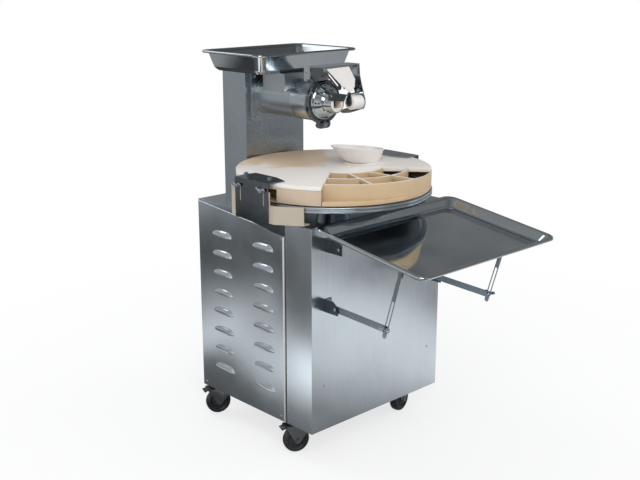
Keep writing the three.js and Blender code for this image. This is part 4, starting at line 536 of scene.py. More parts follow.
def make_finishes(colours):
    """Every finish of the machine, named as the record's material slots."""
    metal("brushed_steel", colours.brushed_steel, 0.20, (700.0, 700.0, 9.0), waves=0.5)
    metal("polished_steel", colours.polished_steel, 0.08, 30.0, waves=0.6, spread=0.03, scratch=0.03)
    metal(
        "pan_steel", colours.polished_steel, 0.12, 30.0, waves=0.6, spread=0.04, scratch=0.03, top_darkening=0.6)
    metal("satin_steel", colours.satin_steel, 0.27, (500.0, 500.0, 30.0), contrast=0.08, scratch=0.04)
    metal("dark_steel", colours.dark_steel, 0.15, 60.0, waves=0.5, contrast=0.3)
    metal("cast_steel", colours.cast_steel, 0.34, 260.0, contrast=0.16, scratch=0.3)
    metal("band_steel", colours.turntable_alloy, 0.26, (900.0, 60.0, 900.0), contrast=0.12, scratch=0.05)
    # Painted highlight: the hem's steel is nearly white, so that the folded edge reads as a bright line.
    metal("hem_steel", shaded(colours.turntable_alloy, 2.0), 0.5, 60.0, contrast=0.12)
    metal("turntable_alloy", colours.turntable_alloy, 0.30, (60.0, 60.0, 900.0), contrast=0.15)
    metal("zinc_steel", colours.zinc_steel, 0.20, 120.0, contrast=0.2)
    metal("fork_steel", colours.fork_steel, 0.32, 120.0, contrast=0.2)
    lid, tan_and_reflection = tuple(colours.lid_nylon), tuple(colours.tan_nylon_and_reflection)
    # The lid's tan patches and its tan corner are a painted reflection.
    moulded("lid_nylon", (shaded(lid, 1.1), tan_and_reflection), 0.36, (6.0, 7.0, 2.0), (0.42, 0.52), reflection_corner=0.22)
    moulded("cream_nylon", two_tones(colours.cream_nylon, 1.12), 0.40, (3.2, 4.2, 2.0))
    # The walls' amber is partly painted shade, and their tops take the lid's colour as painted light.
    moulded("amber_nylon", two_tones(colours.amber_nylon, 1.15), 0.40, 5.0, rim=lid)
    moulded("chute_nylon", two_tones(colours.chute_nylon, 1.1), 0.42, 6.0)
    moulded("bush_nylon", (shaded(lid, 0.92), tan_and_reflection), 0.36, 14.0, (0.4, 0.6))
    moulded("white_nylon", two_tones(colours.white_nylon, 1.1), 0.34, 9.0)
    moulded("motor_paint", two_tones(colours.motor_paint, 1.5), 0.45, 40.0, grain=0.5)
    moulded("black_rubber", two_tones(colours.black_rubber, 2.0), 0.36, 30.0, grain=0.4)
    moulded("black_plastic", two_tones(colours.black_plastic, 1.8), 0.38, 30.0, grain=0.2)


def dress_nodes():
    """Gives every CAD node the finish of its record slot."""
    for row in frame["record"]["subparts"]:
        piece = NODES[row["node"]]
        finish = FINISHES[row["material_slot"]]
        for place in piece.material_slots:
            place.material = finish


# Cabinet

PANEL_FOOT = 105.0
HIGHEST_LOUVRE = 641.0
LOUVRE_ROW_PITCH = 64.3
LOUVRE_COLUMN_PITCH = 198.0


def louvre_panel():
    """The left panel as one surface x(y, z): over each louvre it swells by the height of an egg
    shape cut at its widest level, and the row below the cut is left out as its mouth. The swell
    is (1 - along^2.2 - up^2)^0.75 of its full height, with along and up as shares of the louvre's
    length and rise. A flat row or column lies just outside each louvre, so that the sheet between
    them stays flat."""
    front, back = CABINET_FRONT + 114.3, CABINET_BACK
    proud = bpy.context.scene.divider_sizes.louvre_proud / MM
    length, rise, flat, hem_depth = 96.0, 19.0, 0.8, 2.4
    ahead, behind = length * 0.3, length * 0.7
    noses = back - 118.0 - LOUVRE_COLUMN_PITCH * np.arange(2) - length / 2 + ahead
    bases = HIGHEST_LOUVRE - LOUVRE_ROW_PITCH * np.arange(8)[::-1]
    wide = np.linspace(-ahead, behind, 61)
    wide = np.concatenate([[wide[0] - flat], wide, [wide[-1] + flat]])
    y = np.unique(np.concatenate([
        [front, front + 1.2, front + 3, front + 6, front + 8.5, front + 10, front + 11, back - 1.2, back],
        *[nose + wide for nose in noses]]))
    tall = np.linspace(0, 1, 13) ** 1.2 * rise
    levels = [[base - flat, base, *(base + tall), base + rise + flat] for base in bases]
    z = np.concatenate([[PANEL_FOOT, PANEL_FOOT + 1.2], *levels, [bases[-1] + 26]])
    top = np.interp(y, [front, -108.7, -65.7, 0, back], [699, 699, 707.5, 716, 740])
    rows = np.concatenate([np.repeat(z[:, None], len(y), 1), top[None] - 1.2, top[None]])
    along = np.minimum.reduce([
        np.abs(np.where(y < nose, (y - nose) / ahead, (y - nose) / behind)) for nose in noses])
    one_louvre = proud * np.clip(1 - along[None] ** 2.2 - (tall[:, None] / rise) ** 2, 0, None) ** 0.75
    swell = np.zeros_like(rows)
    rows_each = len(tall) + 3
    last = rows_each * len(bases)
    for first in range(4, 4 + last, rows_each):
        swell[first:first + len(tall)] = one_louvre
    hem = hem_depth * np.clip(np.sin(np.pi * np.clip((y - front + 1.2) / 10.5, 0, 1)), 0, 1) ** 0.6
    x = CABINET_LEFT - swell - hem[None]
    points = np.stack([x, np.repeat(y[None] + Y_SHIFT, len(rows), 0), rows], -1)
    part_points, faces = grid_part(points, columns_closed=False)
    mouths = np.zeros((points.shape[0] - 1, points.shape[1] - 1), bool)
    mouths[3:3 + last:rows_each] = (along[:-1] < 0.999) | (along[1:] < 0.999)
    faces = [face for face, mouth in zip(faces, mouths.reshape(-1).tolist()) if not mouth]
    piece = add_piece(
        "louvre_panel", (part_points, faces), "brushed_steel", "machine", ["left_louvre_panel"],
        sharp_degrees=50)
    wall = piece.modifiers.new("sheet thickness", "SOLIDIFY")
    wall.thickness = 1.5 * MM
    wall.offset = 1.0 if facing(piece) > 0 else -1.0
    return piece


def facing(piece):
    """How the flat faces of the louvre panel look: positive towards +X."""
    normals = np.zeros(len(piece.data.polygons) * 3, np.float32)
    piece.data.polygons.foreach_get("normal", normals)
    return float(normals.reshape(-1, 3)[:, 0].sum())


def panel_hem():
    """The folded front edge of the louvre panel as a long bead, nearly white as a painted highlight, and a
    black strip in the gap beside it as painted shade.
    """
    bead = rounded_box(-271.2, -266.5, -151.0, -144.4, 2.0, 4)
    # Painted highlight: the bead takes the nearly white hem finish.
    add_piece(
        "panel_hem", moved(plate(bead, "z", 107.0, 698.0, 0.6), (0, Y_SHIFT, 0)), "hem_steel", "machine")
    # Painted shade: a black strip fills the gap beside the hem.
    gap = rounded_box(-266.5, -264.5, -154.6, -151.8, 0.5, 2)
    add_piece(
        "panel_gap", moved(plate(gap, "z", 107.0, 698.0, 0.2), (0, Y_SHIFT, 0)), "black_plastic", "machine")


def cabinet():
    """The louvre panel with its hem, and the other sheets with rounded edges."""
    louvre_panel()
    panel_hem()
    rounded(0.0009, "front_panel", "right_panel", "rear_panel", "deck_plate", "floor_pan", "floor_frame")


# Casters

CASTERS = {
    "front_left": (-196.0, -166.0, 70.0), "front_right": (264.0, -166.0, 100.0),
    "rear_left": (-196.0, 226.0, 70.0), "rear_right": (264.0, 226.0, 100.0),
}


def casters():
    """Turned wheels with a crowned tyre, a bead and a bearing seat, set as each fork stands."""
    radius, trail = 42.0, 36.0
    half = eased([
        (4.3, 16), (9, 16), (10, 14), (17, 13.6), (19, 10), (27, 9), (29, 12.4), (34, 13.8),
        (39.4, 12.4), (41.3, 8), (radius, 0)], 1.6, steps=4)
    profile = np.concatenate([half, half[::-1] * [1, -1], half[:1]])
    wheel = turned(profile, axis="x")
    for place, (x, y, degrees) in CASTERS.items():
        angle = math.radians(degrees)
        ahead, aside = math.cos(angle), math.sin(angle)
        turn = np.array([[ahead, -aside, 0], [aside, ahead, 0], [0, 0, 1]])
        standing = (wheel[0] + [0, trail, radius]) @ turn.T + [x, y + Y_SHIFT, 0], wheel[1]
        add_piece(f"tyre_{place}", standing, "black_rubber", f"wheel_{place}", [f"caster_wheel_{place}"])
        formed(f"caster_fork_{place}", 0.0007, "fork_steel")
    rounded(0.0012, "caster_brake_front_left", "caster_brake_rear_left")


# Rounder

TRACK_BOTTOM = 806.6
TRACK_TOP = 862.8
UNDER_COVER = 850.5
WINDOW = (-141.0, -49.5)
OUTLET = (178.0, 193.0)


def spiral_radius(degrees):
    """The spiral's radius: it grows evenly with the turn and leans to one side by a cosine. From
    300 to 520 degrees it keeps its value at 300, and then runs evenly to its value at 575."""
    degrees = np.asarray(degrees, float)

    def plain(d):
        return 118.0 + 84.0 * (d + 95.0) / 360.0 + 25.0 * np.cos(np.radians(d + 15.0))

    held = plain(300.0)
    share = np.clip((degrees - 520.0) / 55.0, 0, None)
    kept = held + (plain(575.0) - held) * share
    return np.where((degrees <= 300.0) | (degrees >= 575.0), plain(degrees), kept)


def on_disc(part):
    """From the turntable's own centre to the machine's frame."""
    return moved(part, (0, DISC_Y + Y_SHIFT, 0))


def guide_wall():
    """The spiral wall: a rectangle with a rounded top carried along the spiral, taller inside
    the window, where it comes up flush with the cover."""
    degrees = np.arange(-190.0, 668.1, 2.0)
    edges = np.concatenate([[d + WINDOW[0] + 0.4, d + WINDOW[1] - 0.4] for d in (0.0, 360.0, 720.0)])
    steps = np.concatenate([edges - 0.02, edges + 0.02])
    degrees = np.unique(np.concatenate([degrees, steps[steps < 668.0]]))
    inside = np.mod(degrees - WINDOW[0] - 0.4, 360.0) < WINDOW[1] - WINDOW[0] - 0.8
    top = np.where(inside & (degrees > -150), TRACK_TOP, UNDER_COVER)
    radius = spiral_radius(degrees)
    half, edge = 4.0, 1.2
    outer = np.minimum(radius + half, DISC_RADIUS)
    inner = np.minimum(radius - half, DISC_RADIUS - 2.0)
    turn = np.linspace(0, np.pi / 2, 4)
    low = np.full_like(radius, TRACK_BOTTOM)
    columns = [(inner, low)]
    columns += [(inner + edge * (1 - math.cos(t)), top - edge * (1 - math.sin(t))) for t in turn]
    columns += [(outer - edge * (1 - math.cos(t)), top - edge * (1 - math.sin(t))) for t in turn[::-1]]
    columns += [(outer, low)]
    angle = np.radians(degrees)
    grid = np.stack([
        np.stack([r * np.cos(angle), r * np.sin(angle), h], -1) for r, h in columns], 1)
    return grid_part(grid, ends=True)


def window_curve(count, start=0.0, end=1.0):
    """The inner edge of the window, just inside the first turn of the spiral."""
    degrees = WINDOW[0] + (WINDOW[1] - WINDOW[0]) * np.linspace(start, end, count)
    return polar(spiral_radius(degrees) - 4.3, degrees)


def cover_outline():
    """The cover: the rim's circle round to the window, closed along the window's inner edge."""
    rim = arc(DISC_RADIUS, WINDOW[1], WINDOW[0] + 360.0, 150)
    return np.concatenate([rim, window_curve(40)])


def base_flange():
    """The low strip outside the outer wall of the window, between that wall and the rim."""
    degrees = np.linspace(WINDOW[0] + 720.5, WINDOW[1] + 719.5, 60)
    inner = np.minimum(spiral_radius(degrees), DISC_RADIUS - 3.0)
    outline = np.concatenate([
        polar(inner, degrees), arc(DISC_RADIUS, WINDOW[1] - 0.5, WINDOW[0] + 0.5, 60)])
    return plate(outline, "z", TRACK_BOTTOM, TRACK_BOTTOM + 12.0, 0.8)


def cross_ribs():
    """Two bars with round ends from the first turn of the spiral to the last."""
    ribs = []
    for degrees in (-111.0, -82.0):
        start = polar(float(spiral_radius(degrees)) - 3.0, degrees)
        end = polar(float(spiral_radius(degrees + 720.0)), degrees)
        ribs.append(plate(slot_loop(start, end, 4.0), "z", TRACK_TOP - 12.0, TRACK_TOP - 0.05, 1.0))
    return ribs


def skirt_parts():
    """The outer wall: a ring with rounded edges, open at the window, a thin strip over the outlet."""
    top, inner = UNDER_COVER, DISC_RADIUS - 8.0
    edge = 0.8

    def wall(start, end, bottom):
        count = max(4, int(abs(end - start) / 2))
        outline = np.concatenate([
            arc(DISC_RADIUS, start, end, count), arc(inner, end, start, count)])
        return plate(outline, "z", bottom, top, edge)

    return [
        wall(WINDOW[1], OUTLET[0], TRACK_BOTTOM), wall(*OUTLET, top - 6.0),
        wall(OUTLET[1], WINDOW[0] + 360.0, TRACK_BOTTOM)]


def rounder():
    """The turntable's turned profile, an amber sheet on it as painted shade, and the cover, skirt and spiral
    wall of the track.
    """
    turn = eased([
        (17.9, 765.6), (46, 765.6), (54, 795.5), (282, 795.5), (290, 785), (304, 785), (306, 787),
        (306, 792.0), (302.2, 794.3), (306, 796.6), (306, 801.5), (304, 803.5), (17.9, 803.5), (17.9, 765.6)],
        1.2, steps=3)
    disc = on_disc(turned(turn, segments=180))
    add_piece("turntable_disc", disc, "turntable_alloy", "turntable", ["turntable"])
    # Painted shade: a thin amber sheet on the turntable gives the cells the amber-brown of their shade.
    shade_sheet = turned(
        [(40, 803.0), (292, 803.0), (292, 804.0), (291.5, 804.4), (40, 804.4), (40, 803.0)], segments=180)
    add_piece("table_lining", on_disc(shade_sheet), "amber_nylon", "turntable")
    add_piece(
        "cover_plate", on_disc(plate(cover_outline(), "z", UNDER_COVER + 0.3, TRACK_TOP, 1.4)),
        "lid_nylon", "machine", ["track_cover"])
    add_piece("outer_skirt", on_disc(joined(skirt_parts())), "cream_nylon", "machine", ["track_skirt"])
    add_piece(
        "spiral_wall", on_disc(joined([guide_wall(), base_flange(), *cross_ribs()])),
        "amber_nylon", "machine", ["spiral_guide"])
    funnel()
    rounded(0.001, "left_bracket", "right_bracket")
    formed("outlet_chute", 0.001, "chute_nylon")
    rounded(0.0012, "turntable_shaft", "turntable_bearing", "turntable_gearbox", "turntable_motor")


def funnel():
    """A scoop: the ring at share s is an ellipse that swells and shifts with s, its height
    rising towards -X, and the wall is carried round the lip to the inside."""
    angle = around(96)
    neck, lip_across, lip_deep = 49, 103, 60
    lip_low, lip_high = 34, 62

    def ring(share, wall):
        bulge = share ** 0.75
        across = neck + (lip_across - neck) * bulge - wall
        deep = neck + (lip_deep - neck) * bulge - wall
        tilt = (1 - np.cos(angle)) / 2
        height = lip_low + (lip_high - lip_low) * tilt
        return np.stack([-24 * share + across * np.cos(angle), deep * np.sin(angle), 2 + height * share], -1)

    shares = np.linspace(0, 1, 15)
    rows = [ring(s, 0.0) for s in shares]
    lip = np.linspace(0, np.pi, 7)[1:-1]
    rows += [ring(1.0, 2 - 2 * math.cos(t)) + [0, 0, 1.6 * math.sin(t)] for t in lip]
    rows += [ring(s, 4.0) for s in shares[::-1]]
    bowl = grid_part(np.stack(rows), rows_closed=True)
    flange = plate(ring_of(66, segments=96), "z", 0.0, 4.0, 1.0, [ring_of(45, segments=96)])
    part = moved(joined([bowl, flange]), (117.0, DISC_Y - 12.0 + Y_SHIFT, TRACK_TOP + 0.3))
    add_piece("scoop", part, "white_nylon", "machine", ["funnel"])


# Pan and tray

def at_height(loop, height):
    return np.concatenate([loop, np.full((len(loop), 1), height)], 1)


def pressed_sheet(x0, x1, y0, y1, corner, profile, thickness):
    """A pressed pan's rings: rounded rectangles of growing inset follow the profile of (inset,
    height) down the outside, and come back a sheet's thickness further in. The second value is
    the number of rings on the outside."""
    path = eased(profile, 4.0, steps=5)
    ahead = np.gradient(path, axis=0)
    ahead = ahead / np.maximum(np.linalg.norm(ahead, axis=1, keepdims=True), 1e-9)
    inner = path + thickness * np.stack([-ahead[:, 1], ahead[:, 0]], -1)
    section = np.concatenate([path, inner[::-1]])
    rows = []
    for inset, height in section:
        radius = max(corner - 0.35 * inset, 8.0)
        rows.append(at_height(rounded_box(x0 + inset, x1 - inset, y0 + inset, y1 - inset, radius), height))
    return np.stack(rows), len(path)


def pan_shell(x0, x1, y0, y1, corner, profile, thickness, hole=None):
    """The closed sheet of a pan: its rings without the strip across the floor's edge, and the two
    sides of the floor filled in, round a hole where there is one."""
    rows, count = pressed_sheet(x0, x1, y0, y1, corner, profile, thickness)
    sheet = grid_part(rows, rows_closed=True)
    faces = sheet[1]
    columns = rows.shape[1]
    drop = (count - 1) * columns
    faces = faces[:drop] + faces[drop + columns:]
    parts = [(sheet[0], faces)]
    for index in (count - 1, count):
        ring = rows[index]
        loops = [ring[:, :2]] + ([hole] if hole is not None else [])
        parts.append((at_height(np.concatenate(loops), ring[0, 2]), filled(loops)))
    if hole is not None:
        walls = [at_height(hole, rows[i][0, 2]) for i in (count - 1, count)]
        parts.append(grid_part(np.stack(walls)))
    return joined(parts)


PAN_MIDDLE = 27.8
PAN_HALF_LENGTH = 215.5
PAN_WIDTH = 298.0
PAN_BACK = 346.0
PAN_HEIGHT = 62.8
SHEET = 1.5


def hopper_pan():
    """The pressed pan: a rolled rim, a sloping wall and a flat floor round the throat."""
    floor, top = COLUMN_TOP + 0.3, COLUMN_TOP + PAN_HEIGHT
    profile = [
        (1.2, top - 6.0), (0.2, top - 4.5), (0.6, top - 1.4), (2.6, top - 0.2), (7.0, top - 0.4),
        (11.0, top - 2.0), (14.5, top - 7.0), (29.0, floor + 9.0), (39.0, floor)]
    throat = rounded_box(-52, 52, 84, 176, 4, 4)
    part = pan_shell(
        PAN_MIDDLE - PAN_HALF_LENGTH, PAN_MIDDLE + PAN_HALF_LENGTH, PAN_BACK - PAN_WIDTH, PAN_BACK, 34.0,
        profile, SHEET, throat)
    add_piece(
        "feed_pan", moved(part, (0, Y_SHIFT, 0)), "pan_steel", "machine", ["hopper_pan"])


TRAY_TILT = math.radians(8.3)
TRAY_BACK = -289.0
TRAY_TOP = 755.5
TRAY_DEPTH = 26.0
TRAY_HINGE = (-324.0, 685.0)
STAY_PIVOT = (-558.0, 661.0)
ARM_PIVOT = (-309.0, 501.0)


def tilted(part):
    """From the tray's own frame, tilted forward, to the machine's."""
    x, y, z = part[0].T
    points = np.stack([
        x + CABINET_X, TRAY_BACK + y * math.cos(TRAY_TILT) - z * math.sin(TRAY_TILT) + Y_SHIFT,
        TRAY_TOP + y * math.sin(TRAY_TILT) + z * math.cos(TRAY_TILT)], -1)
    return points, part[1]


def drop_tray():
    """The pressed tray with its rolled rim, tilted forward, and the four eyes under it."""
    profile = [
        (1.4, -5.5), (0.2, -4.2), (0.4, -1.3), (2.2, -0.1), (6.5, -0.2), (11.0, -1.4), (14.0, -4.5),
        (26.0, -24.0), (34.0, -TRAY_DEPTH)]
    part = pan_shell(-300.0, 300.0, -412.0, 0.0, 32.0, profile, SHEET)
    add_piece("tray_sheet", tilted(part), "polished_steel", "tray", ["drop_tray"])
    lugs = []
    for side in (-1, 1):
        lugs.append(tray_lug(side, *TRAY_HINGE, False))
        lugs.append(tray_lug(side, *STAY_PIVOT, True))
    add_piece("tray_lugs", joined(lugs), "satin_steel", "tray")


def tray_lug(side, y, z, pin):
    """A hanging eye under the tray, with the pin or the bore of its pivot."""
    slope, half = math.tan(TRAY_TILT), 16.0
    top = TRAY_TOP + (y - TRAY_BACK) * slope - TRAY_DEPTH / math.cos(TRAY_TILT) + 0.4
    root = [[y + half, top + half * slope], [y - half, top - half * slope]]
    outline = np.concatenate([arc(10.0, 180, 360, 14, (y, z)), root])
    holes = [] if pin else [ring_of(4.6, (y, z), 24)]
    parts = [plate(outline, "x", 226.0, 229.0, 0.5, holes)]
    if pin:
        profile = [(0, 227.0), (4, 227.0), (4, 234.2), (3.4, 234.8), (0, 234.8)]
        parts.append(turned(profile, "x", (0, y, z), 24))
    part = joined(parts)
    if side < 0:
        part = mirrored(part)
    return moved(part, (CABINET_X, Y_SHIFT, 0))


# Feed head

LUGS = ((75.0, 97.0), (70.0, 271.0))


def on_barrel(part):
    """From the barrel's own axis to the machine's frame."""
    return moved(part, (0, Y_SHIFT, BARREL_HEIGHT))


def feed_head():
    """The bell-shaped nozzle with its fins, the lugged clamp ring, the bush at the mouth, the
    turned band of the barrel and the roller, and the other nodes with rounded edges."""
    bell = eased([
        (50, -26.6), (56.9, -26.6), (56.9, -41.0), (54.0, -45.5), (51.5, -47.0), (44.5, -60.0), (39.5, -68.5),
        (35.0, -72.5), (33.0, -75.0), (32.2, -84.0), (30.4, -97.2), (27.4, -98.0), (27.4, -71.8),
        (50, -26.6)], 2.2, steps=4)
    fin = [(29.0, -3.0), (50.0, -3.0), (50.0, 3.0), (29.0, 3.0)]
    fins = [plate(np.array(fin) * [side, 1], "y", -64.0, -44.0, 0.8) for side in (-1, 1)]
    boss = turned(eased([(0, -99.0), (7, -99.0), (7, -45.0), (0, -45.0)], 0.8), "y", (-31, 0, 26), 32)
    pin = turned(eased([(0, -104.2), (4, -104.2), (4, -96.0), (0, -96.0)], 0.5), "y", (-31, 0, 26), 32)
    nozzle = on_barrel(joined([turned(bell, "y"), *fins, boss, pin]))
    add_piece("nozzle_bell", nozzle, "polished_steel", "machine", ["nozzle"])
    collar = [plate(ring_of(68.0, segments=96), "y", -41.3, -26.3, 1.4, [ring_of(57.4, segments=96)])]
    for reach, degrees in LUGS:
        lug = rounded_box(58.5, 83.0, -26.0, 26.0, 12.0)
        across, up = polar(1.0, degrees)
        outline = np.stack([lug[:, 0] * across - lug[:, 1] * up, lug[:, 0] * up + lug[:, 1] * across], -1)
        collar.append(plate(outline, "y", -41.3, -26.3, 1.4, [ring_of(4.5, polar(reach, degrees), 24)]))
    add_piece("clamp_collar", on_barrel(joined(collar)), "dark_steel", "machine", ["clamp_ring"])
    hole = rounded_box(-15, 15, -15, 15, 5, 6)
    bush = plate(ring_of(27.0, segments=96), "y", -98.0, -72.0, 0.8, [hole])
    add_piece("mouth_bush", on_barrel(bush), "bush_nylon", "machine", ["nozzle_bush"])
    band = turned(eased([(61.4, 54), (62.5, 52), (62.5, -25.4), (61.4, -26), (61.4, 54)], 0.5), "y")
    add_piece("turned_band", on_barrel(band), "band_steel", "machine")
    roller = eased([
        (4.3, 0), (19.5, 0), (22, 2.5), (22, 43.5), (19.5, 46), (4.3, 46), (4.3, 0)],
        1.2, steps=4)
    add_piece(
        "soft_roller", on_barrel(turned(roller, "x", (46.8, -104.0, -2.0))), "white_nylon", "feeler_roller",
        ["feeler_roller"])
    rounded(
        0.0006, "feed_barrel", "cutter_bracket", "knife_blade", "feeler_arm", "slotted_bar",
        "deflector_plate", "feed_screw", "screw_sprocket", "screw_bearing")


def column():
    """The casing, the drive and the gearbox with rounded edges."""
    rounded(
        0.0009, "column_casing", "column_rear_cover", "feed_gearbox", "feed_motor", "drive_sprocket",
        "drive_chain")


# Supports

def supports():
    """The tray's bars and brackets with rounded edges, and a wing nut on each side."""
    for side in ("left", "right"):
        for node in ("upper_bracket", "lower_bracket", "tray_arm", "tray_stay"):
            formed(f"{node}_{side}", 0.0005)
        sign = -1 if side == "left" else 1
        nut = wing_nut() if sign > 0 else mirrored(wing_nut())
        nut = moved(nut, (CABINET_X, -509.0 + Y_SHIFT, 492.0))
        add_piece(f"wing_{side}", nut, "zinc_steel", f"arm_{side}", [f"wing_nut_{side}"])


WING_START = 232.6


def wing_nut():
    """A hub turned about the bolt with two wings: each is a slab whose outline is an egg."""
    start = WING_START
    hub = turned(eased([
        (3.5, start), (8.0, start), (7.2, start + 4), (5.6, start + 9), (3.5, start + 9), (3.5, start)],
        0.8), "x", segments=36)
    wings = []
    for sign in (-1, 1):
        angle = around(32)
        reach = 7.5 + 1.5 * np.cos(angle)
        height = 3.5 + 5.2 * np.sin(angle) + 1.2 * np.cos(angle)
        outline = np.stack([sign * (11.5 + reach * np.cos(angle)), height], -1)
        wings.append(plate(outline, "x", start + 3.5, start + 7.0, 1.3))
    return joined([hub, *wings])


# Screws, bolts and rivets

def pan_head(radius, height):
    """A domed head with a hexagonal socket, standing on z = 0."""
    dome = [(radius * math.cos(t), height * math.sin(t)) for t in np.linspace(0.05, 1.15, 6)]
    socket = [(radius * 0.34, height * 0.94), (radius * 0.34, height * 0.35), (0, height * 0.3)]
    return hexed([(radius * 1.02, -0.4), *dome, *socket], [False] * 7 + [True, True, False])


def hex_head(radius, height):
    """A hexagonal head on a round washer."""
    flat, washer = radius * 0.9, radius * 1.35
    profile = [
        (washer, -0.2), (washer, 1.0), (flat * 1.02, 1.05), (flat, 1.1), (flat, height),
        (flat * 0.9, height + 0.6), (0, height + 0.6)]
    return hexed(profile, [False, False, False, True, True, False, False])


def rivet(radius, height):
    """A quarter of an ellipse turned about its axis."""
    turn = np.linspace(0, np.pi / 2, 6)
    return hexed(
        [(radius, -0.3), *[(radius * math.cos(t), height * math.sin(t)) for t in turn]], [False] * 7, 32)


def heads_at(head, places, direction):
    return [aimed(head, place, direction) for place in places]


def fixings():
    """Every small fastener of the fixed body, set by its place and the way it faces."""
    left, front, up = (-1, 0, 0), (0, -1, 0), (0, 0, 1)
    heads = heads_at(
        pan_head(4.2, 2.6),
        [(CABINET_LEFT, y, z) for y, z in ((242, 710), (249, 119), (-127, 119), (-133, 690))], left)
    heads += heads_at(pan_head(3.8, 2.4), [(CABINET_LEFT, -199, 717)], left)
    heads += heads_at(
        rivet(3.2, 0.9), [(CABINET_X + side * 235, CABINET_FRONT, 250.0) for side in (-1, 1)], front)
    for side in (-1, 1):
        x = CABINET_X + side * 219.0
        for y, z in (TRAY_HINGE, ARM_PIVOT):
            screws = [(x, CABINET_FRONT - 3.3, z + 12), (x, CABINET_FRONT - 3.3, z - 9)]
            heads += heads_at(pan_head(4.0, 2.4), screws, front)
            heads += heads_at(rivet(5.2, 2.2), [(CABINET_X + side * 234.8, y, z)], (side, 0, 0))
    clamps = [polar(reach, degrees) for reach, degrees in LUGS]
    barrel = heads_at(hex_head(7.0, 5.5), [(x, -41.3, z) for x, z in clamps], front)
    flange = [(x, 212.0 - 0.3, z) for x in (-64.0, 64.0) for z in (-64.0, 64.0)]
    barrel += heads_at(hex_head(7.0, 5.5), flange, front)
    barrel += heads_at(pan_head(4.4, 3.0), [(-86.0, -55.0, 97.0), (-86.0, -55.0, 77.0)], left)
    barrel += heads_at(rivet(3.4, 1.4), [(-16.6, -108.0, 40.0), (18.8, -108.0, 45.0)], front)
    cover = [(x, y, 866.1) for y in (5.0, -102.0) for x in (-279.0, 279.0)]
    heads += [moved(joined(barrel), (0, 0, BARREL_HEIGHT)), *heads_at(hex_head(6.0, 4.5), cover, up)]
    add_piece(
        "screw_heads", moved(joined(heads + bracket_bolts()), (0, Y_SHIFT, 0)), "zinc_steel", "machine")


def bracket_bolts():
    """The two wing bolts on the outer face of the left bracket, with their shanks."""
    bracket = NODES["left_bracket"].data
    places = np.zeros(len(bracket.vertices) * 3, np.float32)
    bracket.vertices.foreach_get("co", places)
    outer = float(places[::3].min()) / MM
    shank = turned([(0, 232.0), (3.5, 232.0), (3.5, 243.0), (2.9, 243.6), (0, 243.6)], "x", segments=24)
    bolt = mirrored(joined([wing_nut(), shank]))
    return [moved(bolt, (outer + WING_START, y, 841.0)) for y in (-11.0, -120.0)]


# Stage

FLOOR_REACH = 40.0
ROOM_RADIUS = 7.0
ROOM_HEIGHT = 4.2
CAMERA_PLACE = (-2.1317, -2.0887, 1.4632)
CAMERA_DROP = 0.268
CAMERA_TURN = -0.760
CABINET_MIDDLE = (0.019, 0.175)
CABINET_HALF = (0.285, 0.266)


def add_stage(colours, sizes):
    """Floor, background, what the steel mirrors, soft lamps and the camera."""
    scene = bpy.context.scene
    scene.view_settings.view_transform = "Standard"
    world = bpy.data.worlds.new("studio")
    scene.world = world
    world.use_nodes = True
    tree = Tree(world.node_tree)
    path = tree.add("ShaderNodeLightPath")
    seen = tree.maths("MAXIMUM", path.outputs["Is Camera Ray"], path.outputs["Is Glossy Ray"])
    seen = tree.maths("MAXIMUM", seen, path.outputs["Is Transmission Ray"])
    soft = tree.add("ShaderNodeBackground", {"Color": (0.93, 0.96, 1.0), "Strength": 0.63})
    white = tree.add("ShaderNodeBackground", {"Color": (1.0, 1.0, 1.0), "Strength": 1.0})
    mixed = tree.add("ShaderNodeMixShader", {
        "Fac": seen, 1: soft.outputs["Background"], 2: white.outputs["Background"]})
    tree.add("ShaderNodeOutputWorld", {"Surface": mixed.outputs["Shader"]})

    sides = np.linspace(-FLOOR_REACH, FLOOR_REACH, 3)
    floor_grid = laid("z", *np.meshgrid(sides, sides, indexing="ij"), 0.0)
    points, faces = grid_part(floor_grid, columns_closed=False)
    mesh = mesh_from("studio_floor", (points / MM, faces), SHARP_EDGE, False)
    floor = placed("studio_floor", mesh, floor_finish(colours))

    add_floor_flag()
    add_room()
    add_lamp("key", (-2.6, -3.0, 3.4), (0.0, 0.0, 0.7), 2.4, 104.0)
    add_lamp("fill", (3.2, -2.6, 2.4), (0.0, 0.0, 0.7), 2.6, 48.0, False)
    add_lamp("rear", (-1.2, 3.4, 3.2), (0.0, 0.2, 0.8), 2.2, 46.0)

    camera = bpy.data.objects.new("camera", bpy.data.cameras.new("camera"))
    scene.collection.objects.link(camera)
    camera.data.sensor_width = 36.0
    camera.data.lens = sizes.camera_lens
    camera.location = CAMERA_PLACE
    camera.rotation_euler = (math.pi / 2 - CAMERA_DROP, 0.0, CAMERA_TURN)
    camera.data.clip_end = 100.0
    scene.camera = camera


def floor_finish(colours):
    """A pale floor that keeps a soft shadow and meets the white background."""
    tree, surface, place = new_surface("studio_floor")
    surface.inputs["Roughness"].default_value = 0.9
    surface.inputs["Specular IOR Level"].default_value = 0.1
    mottled = tree.noise(place, 1.5, 2.0)
    tone = tree.blend(mottled, shaded(colours.floor, 0.99), shaded(colours.floor, 1.01))
    tree.link(tone, surface.inputs["Base Color"])
    path = tree.add("ShaderNodeLightPath")
    white = tree.add("ShaderNodeEmission", {"Strength": 1.0})
    away = tree.add("ShaderNodeVectorMath", {0: place}, operation="LENGTH").outputs["Value"]
    seen = tree.maths("MULTIPLY", path.outputs["Is Camera Ray"], tree.span(away, 0.72, 1.0, 0.7, 2.2))
    mixed = tree.add("ShaderNodeMixShader", {
        "Fac": seen, 1: surface.outputs["BSDF"], 2: white.outputs["Emission"]})
    output = next(node for node in tree.tree.nodes if node.type == "OUTPUT_MATERIAL")
    tree.link(mixed.outputs["Shader"], output.inputs["Surface"])
    return FINISHES["studio_floor"]


